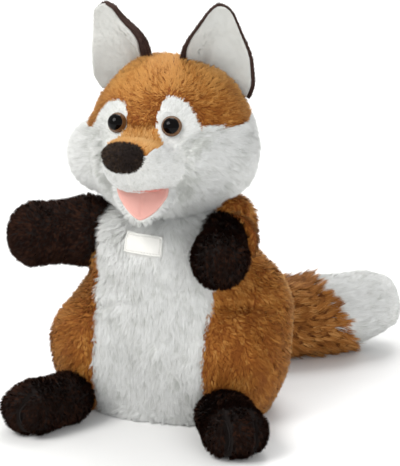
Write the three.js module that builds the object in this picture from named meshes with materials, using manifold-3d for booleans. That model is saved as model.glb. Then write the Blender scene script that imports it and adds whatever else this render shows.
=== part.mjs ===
// A sitting fox hand puppet in plush: a hollow glove body, a stuffed head on a finger tube, two sleeves with
// finger pockets, two feet and a bushy tail. Millimetres, +Z up, the fox faces -Y and its left side is +X.
import * as THREE from "three";
import { mergeVertices } from "three/addons/utils/BufferGeometryUtils.js";
import Module from "manifold-3d";

const wasm = await Module();
wasm.setup();

// Driving dimensions
const GAP = 0.3; // between two pieces that touch
const TURN_GAP = 0.35; // between a round root and the seat that it turns in
const SWEEP_GAP = 1; // round the whole path of a limb that swings past the body
const COPY_GAP = 0.5; // round a limb that turns a few degrees in the cloth round its root
const OVERSHOOT = 5; // how far a cutting solid runs past the face that it opens
const FLAT = 0.5; // depth of the flat that a stuffed form rests on
const LEFT = 1;
const RIGHT = -1;

// The glove body, as half widths to the side, the front and the back at six heights
const GLOVE = {
  cloth: 5,
  squareness: 2.3,
  hem: { z: 0, side: 53, front: 43, back: 46 },
  seat: { z: 36, side: 57, front: 46, back: 54 },
  waist: { z: 78, side: 49, front: 47.5, back: 42 },
  chest: { z: 98, side: 45, front: 47, back: 30 },
  shoulder: { z: 112, side: 38, front: 41, back: 26 },
  top: { z: 122, side: 22, front: 28, back: 14 },
};
const HAUNCH = { x: 36.5, y: -13, z: 34, radiusX: 31.5, radiusY: 35, radiusZ: 36 };
const PANEL = { halfWidth: 34, neckHalfWidth: 27, straightTo: 88, neckAt: 128, back: -15 };
const HEM_BAND = { height: 11, thickness: 2 };
const LABEL = { width: 20, height: 10.5, thickness: 0.8, z: 107 };

// The neck: a dome on the glove that the head turns and nods on, and the tube for the index finger
const NECK = { y: -8, z: 100, dome: 38, nodForward: 15, nodBack: 20 };
const FINGER_TUBE = { bore: 10, wall: 2.4, from: 106, to: 166, flangeAngle: 38, flangeThickness: 2.2 };

// The head
const HEAD = { y: -12, z: 159, radius: 46, width: 45.3, cloth: 4 };
const FACE = {
  back: -9,
  // The top edge of one side's white cloth, from the forehead stripe to the cheek, as [side, height]
  edge: [[9.9, 152], [9.9, 181], [13.9, 184], [18.9, 183], [23.5, 177], [28.5, 167], [34.5, 165]],
};
const CHEEK = { x: 39.5, y: -17, z: 148, radiusX: 16, radiusY: 20, radiusZ: 21 };
const EYE = { x: 15.6, z: 174, domeRadius: 6.2, domeHeight: 4.4, flange: 1.2, socketDepth: 2.6 };
const SHANK = {
  radius: 2.1,
  length: 10.5,
  tipRadius: 1.5,
  tipLength: 0.8,
  ribs: 3,
  firstRib: 1.6,
  ribHeight: 0.45,
  ribPitch: 1.5,
  ribCrest: 0.25,
  ribFoot: 0.9,
};
const WASHER = { radius: 7.5, thickness: 1.4, teeth: 6, slotWidth: 0.9, slotLength: 1.6 };
const MUZZLE = {
  squareness: 2.2,
  cheekEnd: { y: -42, z: 155, side: 25.5, up: 13, down: 15.5 },
  middle: { y: -59, z: 157, side: 20.5, up: 12, down: 15 },
  noseEnd: { y: -72, z: 160.5, side: 14.5, up: 9.5, down: 12.5 },
  tip: { y: -78.5, z: 162.5, side: 8.5, up: 5.5, down: 6.5 },
  lipZ: 141,
};
const BRIDGE = { cloth: 3, halfWidth: 12.5, bottomZ: 162 };
const NOSE = { y: -78.5, z: 163.5, radiusX: 12.8, radiusY: 9, radiusZ: 9 };
const MOUTH = { hingeY: -53.5, hingeZ: 138, halfWidth: 15.5, droop: 50, close: 34, open: 6 };
const JAW = { length: 18, depth: 7.5, hingeRadius: 2.2, hingeWidth: 26.6 };
const TONGUE = { rim: 2.6, thickness: 1.8 };
const PALATE = { halfWidth: 14, length: 12, thickness: 1.8 };
const EAR = {
  side: 25.2,
  back: 15.4,
  tipX: 32.2,
  tipY: -16,
  tipZ: 236,
  halfWidth: 19.4,
  faceOut: 23, // degrees that the open side is turned outward
  backing: 2.4,
  lining: 1.8,
  rim: 2,
  edge: 0.45, // thickness at the side edges, as a share of the middle's
  levelAt: 0.6, // the share of the length at which the leaf has turned level
  tipHalfWidth: 0.6,
  cup: 4.2,
  bend: 20,
  // The width along the ear, as shares of its length and of its width at the root
  widthAt: [0, 0.25, 0.5, 0.72, 0.9, 1],
  widths: [0.86, 1, 0.94, 0.66, 0.36, 0.12],
};

// The arms, as half thicknesses along their length from the ball that turns in the shoulder
const SHOULDER = { x: 44, y: -16, z: 99, cloth: 2.8, raise: 20, lower: 20, forward: 95, back: 5 };
const ARM = {
  root: 17.4,
  wrist: { at: 20, radius: 17.1 },
  paw: { at: 33, radius: 17.5 },
  length: 51,
  cloth: 3,
  pocket: 20,
  doorway: 9.5,
  rest: { [LEFT]: 91, [RIGHT]: 18 },
};

// The feet and the tail
const FOOT = {
  x: 46,
  y: -50,
  root: 13.4,
  ball: { at: 20, radius: 15.2 },
  length: 42,
  widen: 1.22,
  splay: 32.5,
  lift: 20,
  drop: 20,
};
const TAIL = {
  y: 49,
  z: 22,
  root: 13,
  cloth: 2.6,
  lift: 30,
  drop: 12,
  wagOut: 20,
  wagIn: 40,
  route: [
    [0, 0, 0],
    [3, 17, 0.5],
    [20, 36, 1],
    [46, 52, 1.5],
    [74, 72, 3.5],
    [91, 86, 6],
  ],
  bushy: 23.7,
  // The thickness along the tail, as shares of its length and of its bushiest radius
  thickAt: [0, 0.2, 0.45, 0.7, 0.88, 1],
  thickness: [0.5, 0.78, 1, 0.97, 0.68, 0.14],
  stations: 14,
  nearBody: 6, // the stations that can come near the body
  whiteFrom: 0.6,
};

// Plush and plastic colours
const COLOUR = {
  brown: 0xa8692f,
  tailBrown: 0xa9672f,
  white: 0xe1e2e0,
  dark: 0x2f1f1a,
  nose: 0x33251f,
  pink: 0xdfa9a0,
  rim: 0x55403e,
  iris: 0x4a2410,
  washer: 0xe8e6e0,
  filling: 0xf0efec,
  label: 0xf4f2ee,
  lining: 0xd9cbb4,
};
const PLUSH = { roughness: 0.95, metalness: 0 };
const PLASTIC = { roughness: 0.12, metalness: 0 };

// Facets round the soft forms
const ROUND = 22; // outside faces of the body and head
const INNER_ROUND = 14; // the hollows and fillings inside them
const LIMB_ROUND = 14;
const REACH_ROUND = 10; // copies of a limb that only cut its room
const ROOT_CUT = 3; // where such a copy starts, inside its root ball
const LIMB_END = { fine: 5, hollow: 4, copy: 3 }; // rings in the rounded end of a limb
const DOME_RINGS = 4; // in the dome of an eye
const GLOVE_LEVELS = 7; // rings up the glove
const MUZZLE_LEVELS = 7; // rings along the muzzle
const EAR_LEVELS = 8; // rows of an ear leaf
const EAR_ACROSS = 3; // columns of an ear leaf
const SWING_STEP = 25; // degrees between the stages of a swing about an upright axis
const LIFT_STEP = 10; // degrees between the points of the bow that a raised arm draws
const PAW_ARC_STEP = 0.25; // share of the paw's arc between two points
const WAG_STEP = 30; // degrees between the copies of the tail
const TAIL_LIFT_STEP = 21;
const JAW_STEP = 20;
const BEND_STEP = 14; // of an ear's swing

const upright = new THREE.Vector3(0, 0, 1);
const sideways = new THREE.Vector3(1, 0, 0);

// Solids from three.js geometry
function toSolid(geometry, matrix) {
  const bare = geometry.clone();
  for (const name of Object.keys(bare.attributes)) if (name !== "position") bare.deleteAttribute(name);
  if (matrix) bare.applyMatrix4(matrix);
  const merged = mergeVertices(bare, 1e-4);
  const make = (triVerts) =>
    new wasm.Manifold(
      new wasm.Mesh({ numProp: 3, vertProperties: merged.attributes.position.array, triVerts }),
    );
  const made = make(new Uint32Array(merged.index.array));
  if (made.volume() >= 0) return made;
  const turned = new Uint32Array(merged.index.array);
  for (let i = 0; i < turned.length; i += 3) [turned[i], turned[i + 1]] = [turned[i + 1], turned[i]];
  return make(turned);
}

function joined(solids) {
  return solids.reduce((whole, one) => whole.add(one));
}

function at(x, y, z) {
  return new THREE.Matrix4().makeTranslation(x, y, z);
}

function ellipsoid(centre, radii, across = ROUND) {
  const placed = at(...centre).multiply(new THREE.Matrix4().makeScale(...radii));
  return toSolid(new THREE.SphereGeometry(1, across, across / 2), placed);
}

function ball(centre, radius, across = ROUND) {
  return ellipsoid(centre, [radius, radius, radius], across);
}

function box(low, high) {
  const size = high.map((value, i) => value - low[i]);
  const middle = high.map((value, i) => (value + low[i]) / 2);
  return toSolid(new THREE.BoxGeometry(...size), at(...middle));
}

// A closed outline with every edge moved out by the same distance; its corners run anticlockwise.
function grown(points, distance) {
  const edges = points.map(([x, y], i) => {
    const [nextX, nextY] = points[(i + 1) % points.length];
    const length = Math.hypot(nextX - x, nextY - y);
    return [(nextY - y) / length, (x - nextX) / length];
  });
  return points.map(([x, y], i) => {
    const [ax, ay] = edges[(i + points.length - 1) % points.length];
    const [bx, by] = edges[i];
    const share = distance / (1 + ax * bx + ay * by);
    return [x + (ax + bx) * share, y + (ay + by) * share];
  });
}

// A solid with the given outline in the XZ plane, from y = front to y = back.
function slabXZ(points, front, back) {
  const shape = new THREE.Shape(points.map(([x, z]) => new THREE.Vector2(x, z)));
  const geometry = new THREE.ExtrudeGeometry(shape, { depth: back - front, bevelEnabled: false });
  const stood = new THREE.Matrix4().makeRotationX(Math.PI / 2);
  return toSolid(geometry, at(0, back, 0).multiply(stood));
}

// A closed skin over a list of rings, each the same number of points, with a fan over each end.
function skin(rings) {
  const across = rings[0].length;
  const positions = [];
  for (const ring of rings) for (const p of ring) positions.push(p.x, p.y, p.z);
  for (const ring of [rings[0], rings[rings.length - 1]]) {
    const middle = ring.reduce((sum, p) => sum.add(p), new THREE.Vector3()).divideScalar(across);
    positions.push(middle.x, middle.y, middle.z);
  }
  const first = rings.length * across;
  const last = first + 1;
  const faces = [];
  for (let i = 0; i < across; i++) {
    const next = (i + 1) % across;
    for (let k = 0; k + 1 < rings.length; k++) {
      const low = k * across;
      const high = low + across;
      faces.push(low + i, low + next, high + next, low + i, high + next, high + i);
    }
    const top = (rings.length - 1) * across;
    faces.push(first, next, i, last, top + i, top + next);
  }
  const geometry = new THREE.BufferGeometry();
  geometry.setAttribute("position", new THREE.Float32BufferAttribute(positions, 3));
  geometry.setIndex(faces);
  return toSolid(geometry);
}

// Smooth values between named stations, as a function of their place.
function smooth(places, values) {
  const size = values[0].length;
  const curve = new THREE.CubicInterpolant(places, values.flat(), size, new Float32Array(size));
  return (place) => Array.from(curve.evaluate(place));
}

function power(value, exponent) {
  return Math.sign(value) * Math.abs(value) ** exponent;
}

// A lathed body about the Z axis from profile points [radius, height], which start and end on the axis.
function lathe(profile, across, matrix) {
  const points = profile.map(([radius, height]) => new THREE.Vector2(Math.max(radius, 0), height));
  const standing = new THREE.Matrix4().makeRotationX(Math.PI / 2);
  const placed = (matrix ?? at(0, 0, 0)).clone().multiply(standing);
  return toSolid(new THREE.LatheGeometry(points, across), placed);
}

// How much wider a polygon's corners lie than the circle that it goes round
const wrap = (across) => 1 / Math.cos(Math.PI / across);

// The hollow that a ball of this radius turns in: its flat facets stay outside the radius.
function seat(centre, radius, across = ROUND) {
  return ball(centre, radius * wrap(across) ** 2, across);
}

// Turns local +Z to a level direction given as an angle in degrees, forward from the side of the body.
function aimed(side, forward, lift, centre) {
  const spin = new THREE.Matrix4().makeRotationZ(THREE.MathUtils.degToRad(-side * forward));
  const raise = new THREE.Matrix4().makeRotationY(THREE.MathUtils.degToRad(side * (90 - lift)));
  return at(...centre).multiply(spin).multiply(raise);
}

function turnedAbout(centre, axis, degrees) {
  const turn = new THREE.Matrix4().makeRotationAxis(axis, THREE.MathUtils.degToRad(degrees));
  return at(...centre)
    .multiply(turn)
    .multiply(at(...centre.map((value) => -value)));
}

function moved(solid, matrix) {
  return solid.transform(matrix.elements);
}

function steps(from, to, largest) {
  const count = Math.max(1, Math.ceil((to - from) / largest));
  return Array.from({ length: count + 1 }, (_, i) => from + ((to - from) * i) / count);
}

// The glove body
const heights = [GLOVE.hem, GLOVE.seat, GLOVE.waist, GLOVE.chest, GLOVE.shoulder, GLOVE.top];
const gloveAt = smooth(
  heights.map((one) => one.z),
  heights.map((one) => [one.side, one.front, one.back]),
);

function gloveLoft(grow, bottom = GLOVE.hem.z, across = INNER_ROUND, levels = GLOVE_LEVELS) {
  const rings = [];
  const ringAt = (z, place) => {
    const [side, front, back] = gloveAt(place).map((value) => value + grow);
    return Array.from({ length: across }, (_, i) => {
      const angle = (i / across) * Math.PI * 2;
      const depth = Math.sin(angle) < 0 ? front : back;
      const exponent = 2 / GLOVE.squareness;
      const x = side * power(Math.cos(angle), exponent);
      return new THREE.Vector3(x, depth * power(Math.sin(angle), exponent), z);
    });
  };
  if (bottom < GLOVE.hem.z) rings.push(ringAt(bottom, GLOVE.hem.z));
  for (let k = 0; k <= levels; k++) {
    const part = k / levels;
    const place = THREE.MathUtils.lerp(GLOVE.hem.z, GLOVE.top.z, part);
    rings.push(ringAt(place + grow * part, place));
  }
  return skin(rings);
}

const neckCentre = [0, NECK.y, NECK.z];

function haunch(side, grow, across = INNER_ROUND) {
  const centre = [side * HAUNCH.x, HAUNCH.y, HAUNCH.z];
  return ellipsoid(centre, [HAUNCH.radiusX + grow, HAUNCH.radiusY + grow, HAUNCH.radiusZ + grow], across);
}

function gloveOuter(grow) {
  const solid = joined([
    gloveLoft(grow, GLOVE.hem.z, ROUND, 10),
    ball(neckCentre, NECK.dome + grow),
    haunch(LEFT, grow, ROUND),
    haunch(RIGHT, grow, ROUND),
  ]);
  const wide = GLOVE.seat.side + HAUNCH.radiusX;
  const high = NECK.z + NECK.dome + grow + OVERSHOOT;
  return solid.intersect(box([-wide, -wide, GLOVE.hem.z], [wide, wide, high]));
}

// The hand goes in here; the stuffed pads lie in pockets beside it.
function handHollow() {
  const dome = seat(neckCentre, NECK.dome - GLOVE.cloth, INNER_ROUND);
  return gloveLoft(-GLOVE.cloth, GLOVE.hem.z - OVERSHOOT).add(dome);
}

function padPocket(side, grow) {
  const above = box(
    [-HAUNCH.x - HAUNCH.radiusX, HAUNCH.y - HAUNCH.radiusY, GLOVE.hem.z + GLOVE.cloth / 2 - grow],
    [HAUNCH.x + HAUNCH.radiusX, HAUNCH.y + HAUNCH.radiusY, HAUNCH.z + HAUNCH.radiusZ],
  );
  return haunch(side, -GLOVE.cloth + grow).intersect(above);
}

// The hole in the dome leaves the finger tube room to nod.
function neckHole() {
  const radius = (FINGER_TUBE.bore + FINGER_TUBE.wall + SWEEP_GAP) * wrap(LIMB_ROUND);
  const swing = (degrees) => NECK.dome * Math.sin(THREE.MathUtils.degToRad(degrees));
  const hole = new THREE.Shape();
  hole.absarc(0, NECK.y + swing(NECK.nodBack), radius, 0, Math.PI, false);
  hole.absarc(0, NECK.y - swing(NECK.nodForward), radius, Math.PI, 2 * Math.PI, false);
  const geometry = new THREE.ExtrudeGeometry(hole, {
    depth: NECK.dome + OVERSHOOT,
    bevelEnabled: false,
    curveSegments: LIMB_ROUND / 2,
  });
  return toSolid(geometry, at(0, 0, NECK.z));
}

function panelCut(grow) {
  const low = GLOVE.hem.z - OVERSHOOT;
  const high = NECK.z + NECK.dome + OVERSHOOT;
  const right = [
    [PANEL.halfWidth, low],
    [PANEL.halfWidth, PANEL.straightTo],
    [PANEL.neckHalfWidth, PANEL.neckAt],
    [PANEL.neckHalfWidth, high],
  ];
  const left = right.map(([x, z]) => [-x, z]).reverse();
  return slabXZ(grown([...right, ...left], grow), -GLOVE.chest.front - HAUNCH.radiusY, PANEL.back + grow);
}

// A round limb along local +Z, from the back of its root ball to its rounded tip.
function limbProfile({ root, middle, length, grow = 0, from = -Infinity, fine = LIMB_END.fine }) {
  const places = [0, ...middle.map((one) => one.at)];
  const radii = [root, ...middle.map((one) => one.radius)];
  const radiusAt = smooth(places, radii.map((value) => [value]));
  const end = middle[middle.length - 1];
  const tip = length + grow - end.at;
  const points = [];
  for (let i = 0; i <= fine; i++) {
    const angle = (i / fine - 1) * (Math.PI / 2);
    points.push([(root + grow) * Math.cos(angle), (root + grow) * Math.sin(angle)]);
  }
  for (let i = 1; i < fine; i++) {
    const place = (end.at * i) / (fine - 1);
    points.push([radiusAt(place)[0] + grow, place]);
  }
  for (let i = 1; i <= fine; i++) {
    const angle = (i / fine) * (Math.PI / 2);
    points.push([(end.radius + grow) * Math.cos(angle), end.at + tip * Math.sin(angle)]);
  }
  const kept = points.filter(([, height]) => height >= from);
  if (kept.length < points.length) kept.unshift([0, from], [radiusAt(from)[0] + grow, from]);
  kept[0][0] = 0;
  kept[kept.length - 1][0] = 0;
  return kept;
}

const shoulderCentre = (side) => [side * SHOULDER.x, SHOULDER.y, SHOULDER.z];
const capRadius = ARM.root + TURN_GAP + SHOULDER.cloth;

function armSolid(side, forward, lift, { grow = 0, across = LIMB_ROUND, from, fine } = {}) {
  const form = { root: ARM.root, middle: [ARM.wrist, ARM.paw], length: ARM.length };
  const wide = grow > 0 ? wrap(across) : 1;
  const placed = aimed(side, forward, lift, shoulderCentre(side));
  placed.multiply(new THREE.Matrix4().makeScale(wide, wide, 1));
  return lathe(limbProfile({ ...form, grow, from, fine }), across, placed);
}

// Everywhere that the cap and the sleeve go when the arm swings and lifts: a fan about the upright axis
// through the shoulder, cut to the swing, with the sleeve itself at both ends of it.
function armReach(side) {
  const [x, y, z] = shoulderCentre(side);
  const radius = ARM.paw.radius + SWEEP_GAP;
  const round = (lift, from, to, sign) =>
    steps(0, 1, PAW_ARC_STEP).map((part) => {
      const angle = THREE.MathUtils.degToRad(from + (to - from) * part);
      const axis = THREE.MathUtils.degToRad(lift);
      return [
        ARM.paw.at * Math.cos(axis) + radius * Math.cos(angle),
        sign * (ARM.paw.at * Math.sin(axis) + radius * Math.sin(angle)),
      ];
    });
  const reach = ARM.length + SWEEP_GAP;
  const bow = steps(-SHOULDER.lower, SHOULDER.raise, LIFT_STEP).map((degrees) => {
    const angle = THREE.MathUtils.degToRad(degrees);
    return [reach * Math.cos(angle), reach * Math.sin(angle)];
  });
  const low = round(SHOULDER.lower, SHOULDER.lower + 90, SHOULDER.lower, -1);
  const high = round(SHOULDER.raise, SHOULDER.raise, SHOULDER.raise + 90, 1);
  const profile = [[0, -radius], ...low, ...bow.slice(1, -1), ...high, [0, radius]];
  const fan = lathe(profile, REACH_ROUND * 2, at(x, y, z));
  const far = 2 * reach;
  const corners = steps(-SHOULDER.back, SHOULDER.forward, SWING_STEP).map((degrees) => {
    const angle = THREE.MathUtils.degToRad(degrees);
    return new THREE.Vector2(side * far * Math.cos(angle), -far * Math.sin(angle));
  });
  const wedge = new THREE.ExtrudeGeometry(new THREE.Shape([new THREE.Vector2(0, 0), ...corners]), {
    depth: 2 * far,
    bevelEnabled: false,
  });
  const swept = fan.intersect(toSolid(wedge, at(x, y, z - far)));
  const path = [swept, seat([x, y, z], capRadius + TURN_GAP)];
  const ends = { grow: SWEEP_GAP, across: REACH_ROUND, from: ROOT_CUT, fine: LIMB_END.hollow };
  for (const forward of [-SHOULDER.back, SHOULDER.forward])
    for (const lift of [-SHOULDER.lower, 0, SHOULDER.raise])
      path.push(armSolid(side, forward, lift, ends));
  return joined(path);
}

// The way for a finger from the hand hollow into the sleeve.
function doorway(side) {
  const centre = shoulderCentre(side);
  const reach = capRadius + OVERSHOOT;
  const profile = [[0, 0], [ARM.doorway, 0], [ARM.doorway, reach], [0, reach]];
  return lathe(profile, LIMB_ROUND, aimed(-side, 0, 0, centre));
}

const footCentre = (side) => [side * FOOT.x, FOOT.y, FOOT.ball.radius - FLAT];
const footAim = (side) => new THREE.Vector3(
  side * Math.sin(THREE.MathUtils.degToRad(FOOT.splay)),
  -Math.cos(THREE.MathUtils.degToRad(FOOT.splay)),
  0,
);
// Turning about this axis by a positive angle lifts the toes.
const footAxis = (side) => footAim(side).clone().cross(new THREE.Vector3(0, 0, 1)).normalize();

function footSolid(side, lift, grow = 0, from = undefined) {
  const profile = limbProfile({ root: FOOT.root, middle: [FOOT.ball], length: FOOT.length, grow, from });
  const wide = grow > 0 ? wrap(LIMB_ROUND) : 1;
  const aim = footAim(side);
  const axis = footAxis(side);
  const basis = new THREE.Matrix4().makeBasis(axis.clone().negate(), new THREE.Vector3(0, 0, 1), aim);
  const placed = turnedAbout(footCentre(side), axis, lift)
    .multiply(at(...footCentre(side)))
    .multiply(basis)
    .multiply(new THREE.Matrix4().makeScale(FOOT.widen * wide, wide, 1));
  return lathe(profile, LIMB_ROUND, placed);
}

function footReach(side) {
  const root = footSolid(side, 0, COPY_GAP);
  const turned = [-FOOT.drop, FOOT.lift].map((lift) => footSolid(side, lift, COPY_GAP, ROOT_CUT));
  return joined([root, ...turned]);
}

const tailCentre = [0, TAIL.y, TAIL.z];
const tailSeatRadius = TAIL.root + TURN_GAP + TAIL.cloth;
const tailCurve = new THREE.CatmullRomCurve3(
  TAIL.route.map(([x, y, z]) => new THREE.Vector3(x, y + TAIL.y, z + TAIL.z)),
  false,
  "centripetal",
);
const tailRadiusAt = smooth(TAIL.thickAt, TAIL.thickness.map((share) => [share * TAIL.bushy]));

function tailLoft(grow, count = TAIL.stations, sides = LIMB_ROUND) {
  const rings = [];
  const wide = grow > 0 ? wrap(sides) : 1;
  const up = new THREE.Vector3(0, 0, 1);
  for (let k = 0; k <= count; k++) {
    const part = k / TAIL.stations;
    const centre = tailCurve.getPointAt(part);
    const along = tailCurve.getTangentAt(part);
    const across = along.clone().cross(up).normalize();
    const over = across.clone().cross(along).normalize();
    const radius = (tailRadiusAt(part)[0] + grow) * wide;
    rings.push(
      Array.from({ length: sides }, (_, i) => {
        const angle = (i / sides) * Math.PI * 2;
        return centre
          .clone()
          .addScaledVector(across, radius * Math.cos(angle))
          .addScaledVector(over, radius * Math.sin(angle));
      }),
    );
  }
  return skin(rings);
}

function tailSolid() {
  const wide = 4 * TAIL.bushy + TAIL.route[TAIL.route.length - 1][1];
  return tailLoft(0)
    .add(ball(tailCentre, TAIL.root, LIMB_ROUND))
    .intersect(box([-wide, -wide, GLOVE.hem.z], [2 * wide, 2 * wide, wide]));
}

function tailReach() {
  const tail = tailLoft(SWEEP_GAP, TAIL.nearBody, REACH_ROUND);
  const path = [seat(tailCentre, tailSeatRadius + TURN_GAP)];
  for (const lift of [-TAIL.drop, TAIL.lift]) {
    const lifted = moved(tail, turnedAbout(tailCentre, sideways, lift));
    for (const wag of steps(-TAIL.wagOut, TAIL.wagIn, WAG_STEP))
      path.push(moved(lifted, turnedAbout(tailCentre, upright, wag)));
  }
  return joined(path);
}

const gloveShell = gloveOuter(0)
  .subtract(handHollow())
  .subtract(padPocket(LEFT, 0))
  .subtract(padPocket(RIGHT, 0))
  .subtract(neckHole());
const reaches = [armReach(LEFT), armReach(RIGHT), footReach(LEFT), footReach(RIGHT), tailReach()];
const cutShell = reaches.reduce((shell, reach) => shell.subtract(reach), gloveShell);
const bellyPanel = cutShell.intersect(panelCut(0));

function backHalf(side) {
  const wide = GLOVE.seat.side + HAUNCH.radiusX;
  const high = NECK.z + NECK.dome + OVERSHOOT;
  const [near, far] = side === LEFT ? [GAP / 2, wide] : [-wide, -GAP / 2];
  const half = box([near, -wide, -OVERSHOOT], [far, wide, high]);
  return cutShell.subtract(panelCut(GAP)).intersect(half);
}

function haunchPad(side) {
  return padPocket(side, -GAP).subtract(handHollow()).subtract(footReach(side)).subtract(tailReach());
}

function hemBand() {
  const outer = gloveLoft(-GLOVE.cloth - GAP);
  const inner = gloveLoft(-GLOVE.cloth - GAP - HEM_BAND.thickness, GLOVE.hem.z - OVERSHOOT);
  const wide = GLOVE.seat.side;
  return outer
    .subtract(inner)
    .subtract(seat(tailCentre, tailSeatRadius + TURN_GAP))
    .intersect(box([-wide, -wide, GLOVE.hem.z], [wide, wide, HEM_BAND.height]));
}

function chestLabel() {
  const sheet = gloveOuter(GAP + LABEL.thickness).subtract(gloveOuter(GAP));
  const place = box(
    [-LABEL.width / 2, -GLOVE.chest.front - HAUNCH.radiusY, LABEL.z - LABEL.height / 2],
    [LABEL.width / 2, NECK.y, LABEL.z + LABEL.height / 2],
  );
  return sheet.intersect(place);
}

// The finger tube stands in the neck hole on a round flange that hangs inside the dome.
function fingerTube() {
  const outer = FINGER_TUBE.bore + FINGER_TUBE.wall;
  const top = FINGER_TUBE.to - NECK.z;
  const low = FINGER_TUBE.from - NECK.z;
  const inner = FINGER_TUBE.bore;
  const tube = [[inner, low], [outer, low], [outer, top], [inner, top], [inner, low]];
  const over = NECK.dome - GLOVE.cloth - TURN_GAP;
  const under = over - FINGER_TUBE.flangeThickness;
  const edge = THREE.MathUtils.degToRad(FINGER_TUBE.flangeAngle);
  const arc = (radius, from, to) =>
    Array.from({ length: 5 }, (_, i) => {
      const angle = from + ((to - from) * i) / 4;
      return [radius * Math.sin(angle), radius * Math.cos(angle)];
    });
  const inside = Math.asin((FINGER_TUBE.bore + FINGER_TUBE.wall / 2) / over);
  const ring = [...arc(over, inside, edge), ...arc(under, edge, inside)];
  ring.push(ring[0]);
  const placed = at(...neckCentre);
  return lathe(tube, LIMB_ROUND, placed).add(lathe(ring, LIMB_ROUND, placed));
}

// The head
const headCentre = [0, HEAD.y, HEAD.z];

function headBall(grow, across = ROUND) {
  return ellipsoid(headCentre, [HEAD.width + grow, HEAD.radius + grow, HEAD.radius + grow], across);
}

const insideHead = headBall(-HEAD.cloth - GAP, INNER_ROUND);

const neckSeat = seat(neckCentre, NECK.dome + TURN_GAP);
const underHead = ball(neckCentre, NECK.dome + TURN_GAP + HEAD.cloth, INNER_ROUND);
const tubeHole = (() => {
  const radius = FINGER_TUBE.bore + FINGER_TUBE.wall + TURN_GAP;
  const top = FINGER_TUBE.to - NECK.z + GAP;
  return lathe([[0, 0], [radius, 0], [radius, top], [0, top]], LIMB_ROUND, at(...neckCentre));
})();

// White cloth of one side of the face, seen from the front.
function faceCut(side, grow) {
  const low = HEAD.z - HEAD.radius - OVERSHOOT;
  const wide = HEAD.width + OVERSHOOT;
  const [stripeFoot] = FACE.edge;
  const brow = FACE.edge[FACE.edge.length - 1];
  const below = [[GAP / 2, stripeFoot[1]], [GAP / 2, low], [wide, low], [wide, brow[1]]];
  const outline = [...below, ...FACE.edge.toReversed()];
  const placed = grown(outline, grow).map(([x, z]) => [side * x, z]);
  return slabXZ(placed, HEAD.y - HEAD.radius - OVERSHOOT, FACE.back + grow);
}

const mouthHinge = [0, MOUTH.hingeY, MOUTH.hingeZ];
const jawTilt = (closed) => {
  const tilt = THREE.MathUtils.degToRad(MOUTH.droop - closed);
  return at(...mouthHinge).multiply(new THREE.Matrix4().makeRotationX(tilt));
};

// The lower half of a flat oval, hinged at its back edge, with the tongue lying on it.
function jawBlock(closed, grow = 0) {
  const radii = [MOUTH.halfWidth, JAW.length, JAW.depth].map((value) => value + grow);
  const oval = ellipsoid([0, 0, 0], radii, LIMB_ROUND);
  const wide = 2 * MOUTH.halfWidth;
  const lower = oval.intersect(box([-wide, -wide, -wide], [wide, 0, grow]));
  const rollRadius = JAW.hingeRadius + grow;
  const roll = toSolid(
    new THREE.CylinderGeometry(rollRadius, rollRadius, JAW.hingeWidth + 2 * grow, REACH_ROUND),
    at(0, 0, -JAW.hingeRadius).multiply(new THREE.Matrix4().makeRotationZ(Math.PI / 2)),
  );
  return moved(lower.add(roll), jawTilt(closed));
}

function tongueBlock() {
  const wide = MOUTH.halfWidth - TONGUE.rim;
  const long = JAW.length - TONGUE.rim;
  const pad = ellipsoid([0, 0, GAP], [wide, long, TONGUE.thickness * 2], LIMB_ROUND);
  const kept = pad.intersect(
    box([-wide, -long, GAP], [wide, -JAW.hingeRadius * 2, GAP + TONGUE.thickness]),
  );
  return moved(kept, jawTilt(0));
}

const jawReach = joined(steps(-MOUTH.open, MOUTH.close, JAW_STEP).map((closed) => jawBlock(closed, COPY_GAP)));

function muzzleLoft(grow) {
  const ends = [MUZZLE.cheekEnd, MUZZLE.middle, MUZZLE.noseEnd, MUZZLE.tip];
  const formAt = smooth(
    ends.map((one) => -one.y),
    ends.map((one) => [one.z, one.side, one.up, one.down]),
  );
  const levels = MUZZLE_LEVELS;
  const back = -HEAD.y;
  const rings = [];
  const ringAt = (y, [z, side, up, down]) =>
    Array.from({ length: LIMB_ROUND }, (_, i) => {
      const angle = (i / LIMB_ROUND) * Math.PI * 2;
      const tall = (Math.sin(angle) < 0 ? down : up) + grow;
      const exponent = 2 / MUZZLE.squareness;
      const out = (side + grow) * power(Math.cos(angle), exponent);
      return new THREE.Vector3(out, y, z + tall * power(Math.sin(angle), exponent));
    });
  rings.push(ringAt(-back, formAt(-MUZZLE.cheekEnd.y)));
  for (let k = 0; k <= levels; k++) {
    const part = k / levels;
    const place = THREE.MathUtils.lerp(-MUZZLE.cheekEnd.y, -MUZZLE.tip.y, part);
    rings.push(ringAt(-place - grow * part, formAt(place)));
  }
  return skin(rings);
}

function bridgeCut(grow) {
  const wide = BRIDGE.halfWidth + grow;
  const slopeZ = MUZZLE.cheekEnd.z + MUZZLE.cheekEnd.up;
  const low = BRIDGE.bottomZ - grow;
  const high = slopeZ + OVERSHOOT;
  return slabXZ([[-wide, low], [wide, low], [wide, high], [-wide, high]], MUZZLE.tip.y - OVERSHOOT, HEAD.y);
}

const lipPlane = (z) =>
  box([-HEAD.width, MUZZLE.tip.y - OVERSHOOT, HEAD.z - HEAD.radius], [HEAD.width, HEAD.y, z]);
const noseBall = (grow) => {
  const radii = [NOSE.radiusX, NOSE.radiusY, NOSE.radiusZ].map((value) => value + grow);
  return ellipsoid([0, NOSE.y, NOSE.z], radii, LIMB_ROUND);
};

function muzzleBody() {
  const bridgeRoom = muzzleLoft(GAP).subtract(muzzleLoft(-BRIDGE.cloth - GAP)).intersect(bridgeCut(GAP));
  return muzzleLoft(0)
    .subtract(headBall(GAP))
    .subtract(bridgeRoom)
    .subtract(noseBall(GAP))
    .subtract(lipPlane(MUZZLE.lipZ));
}

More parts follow.
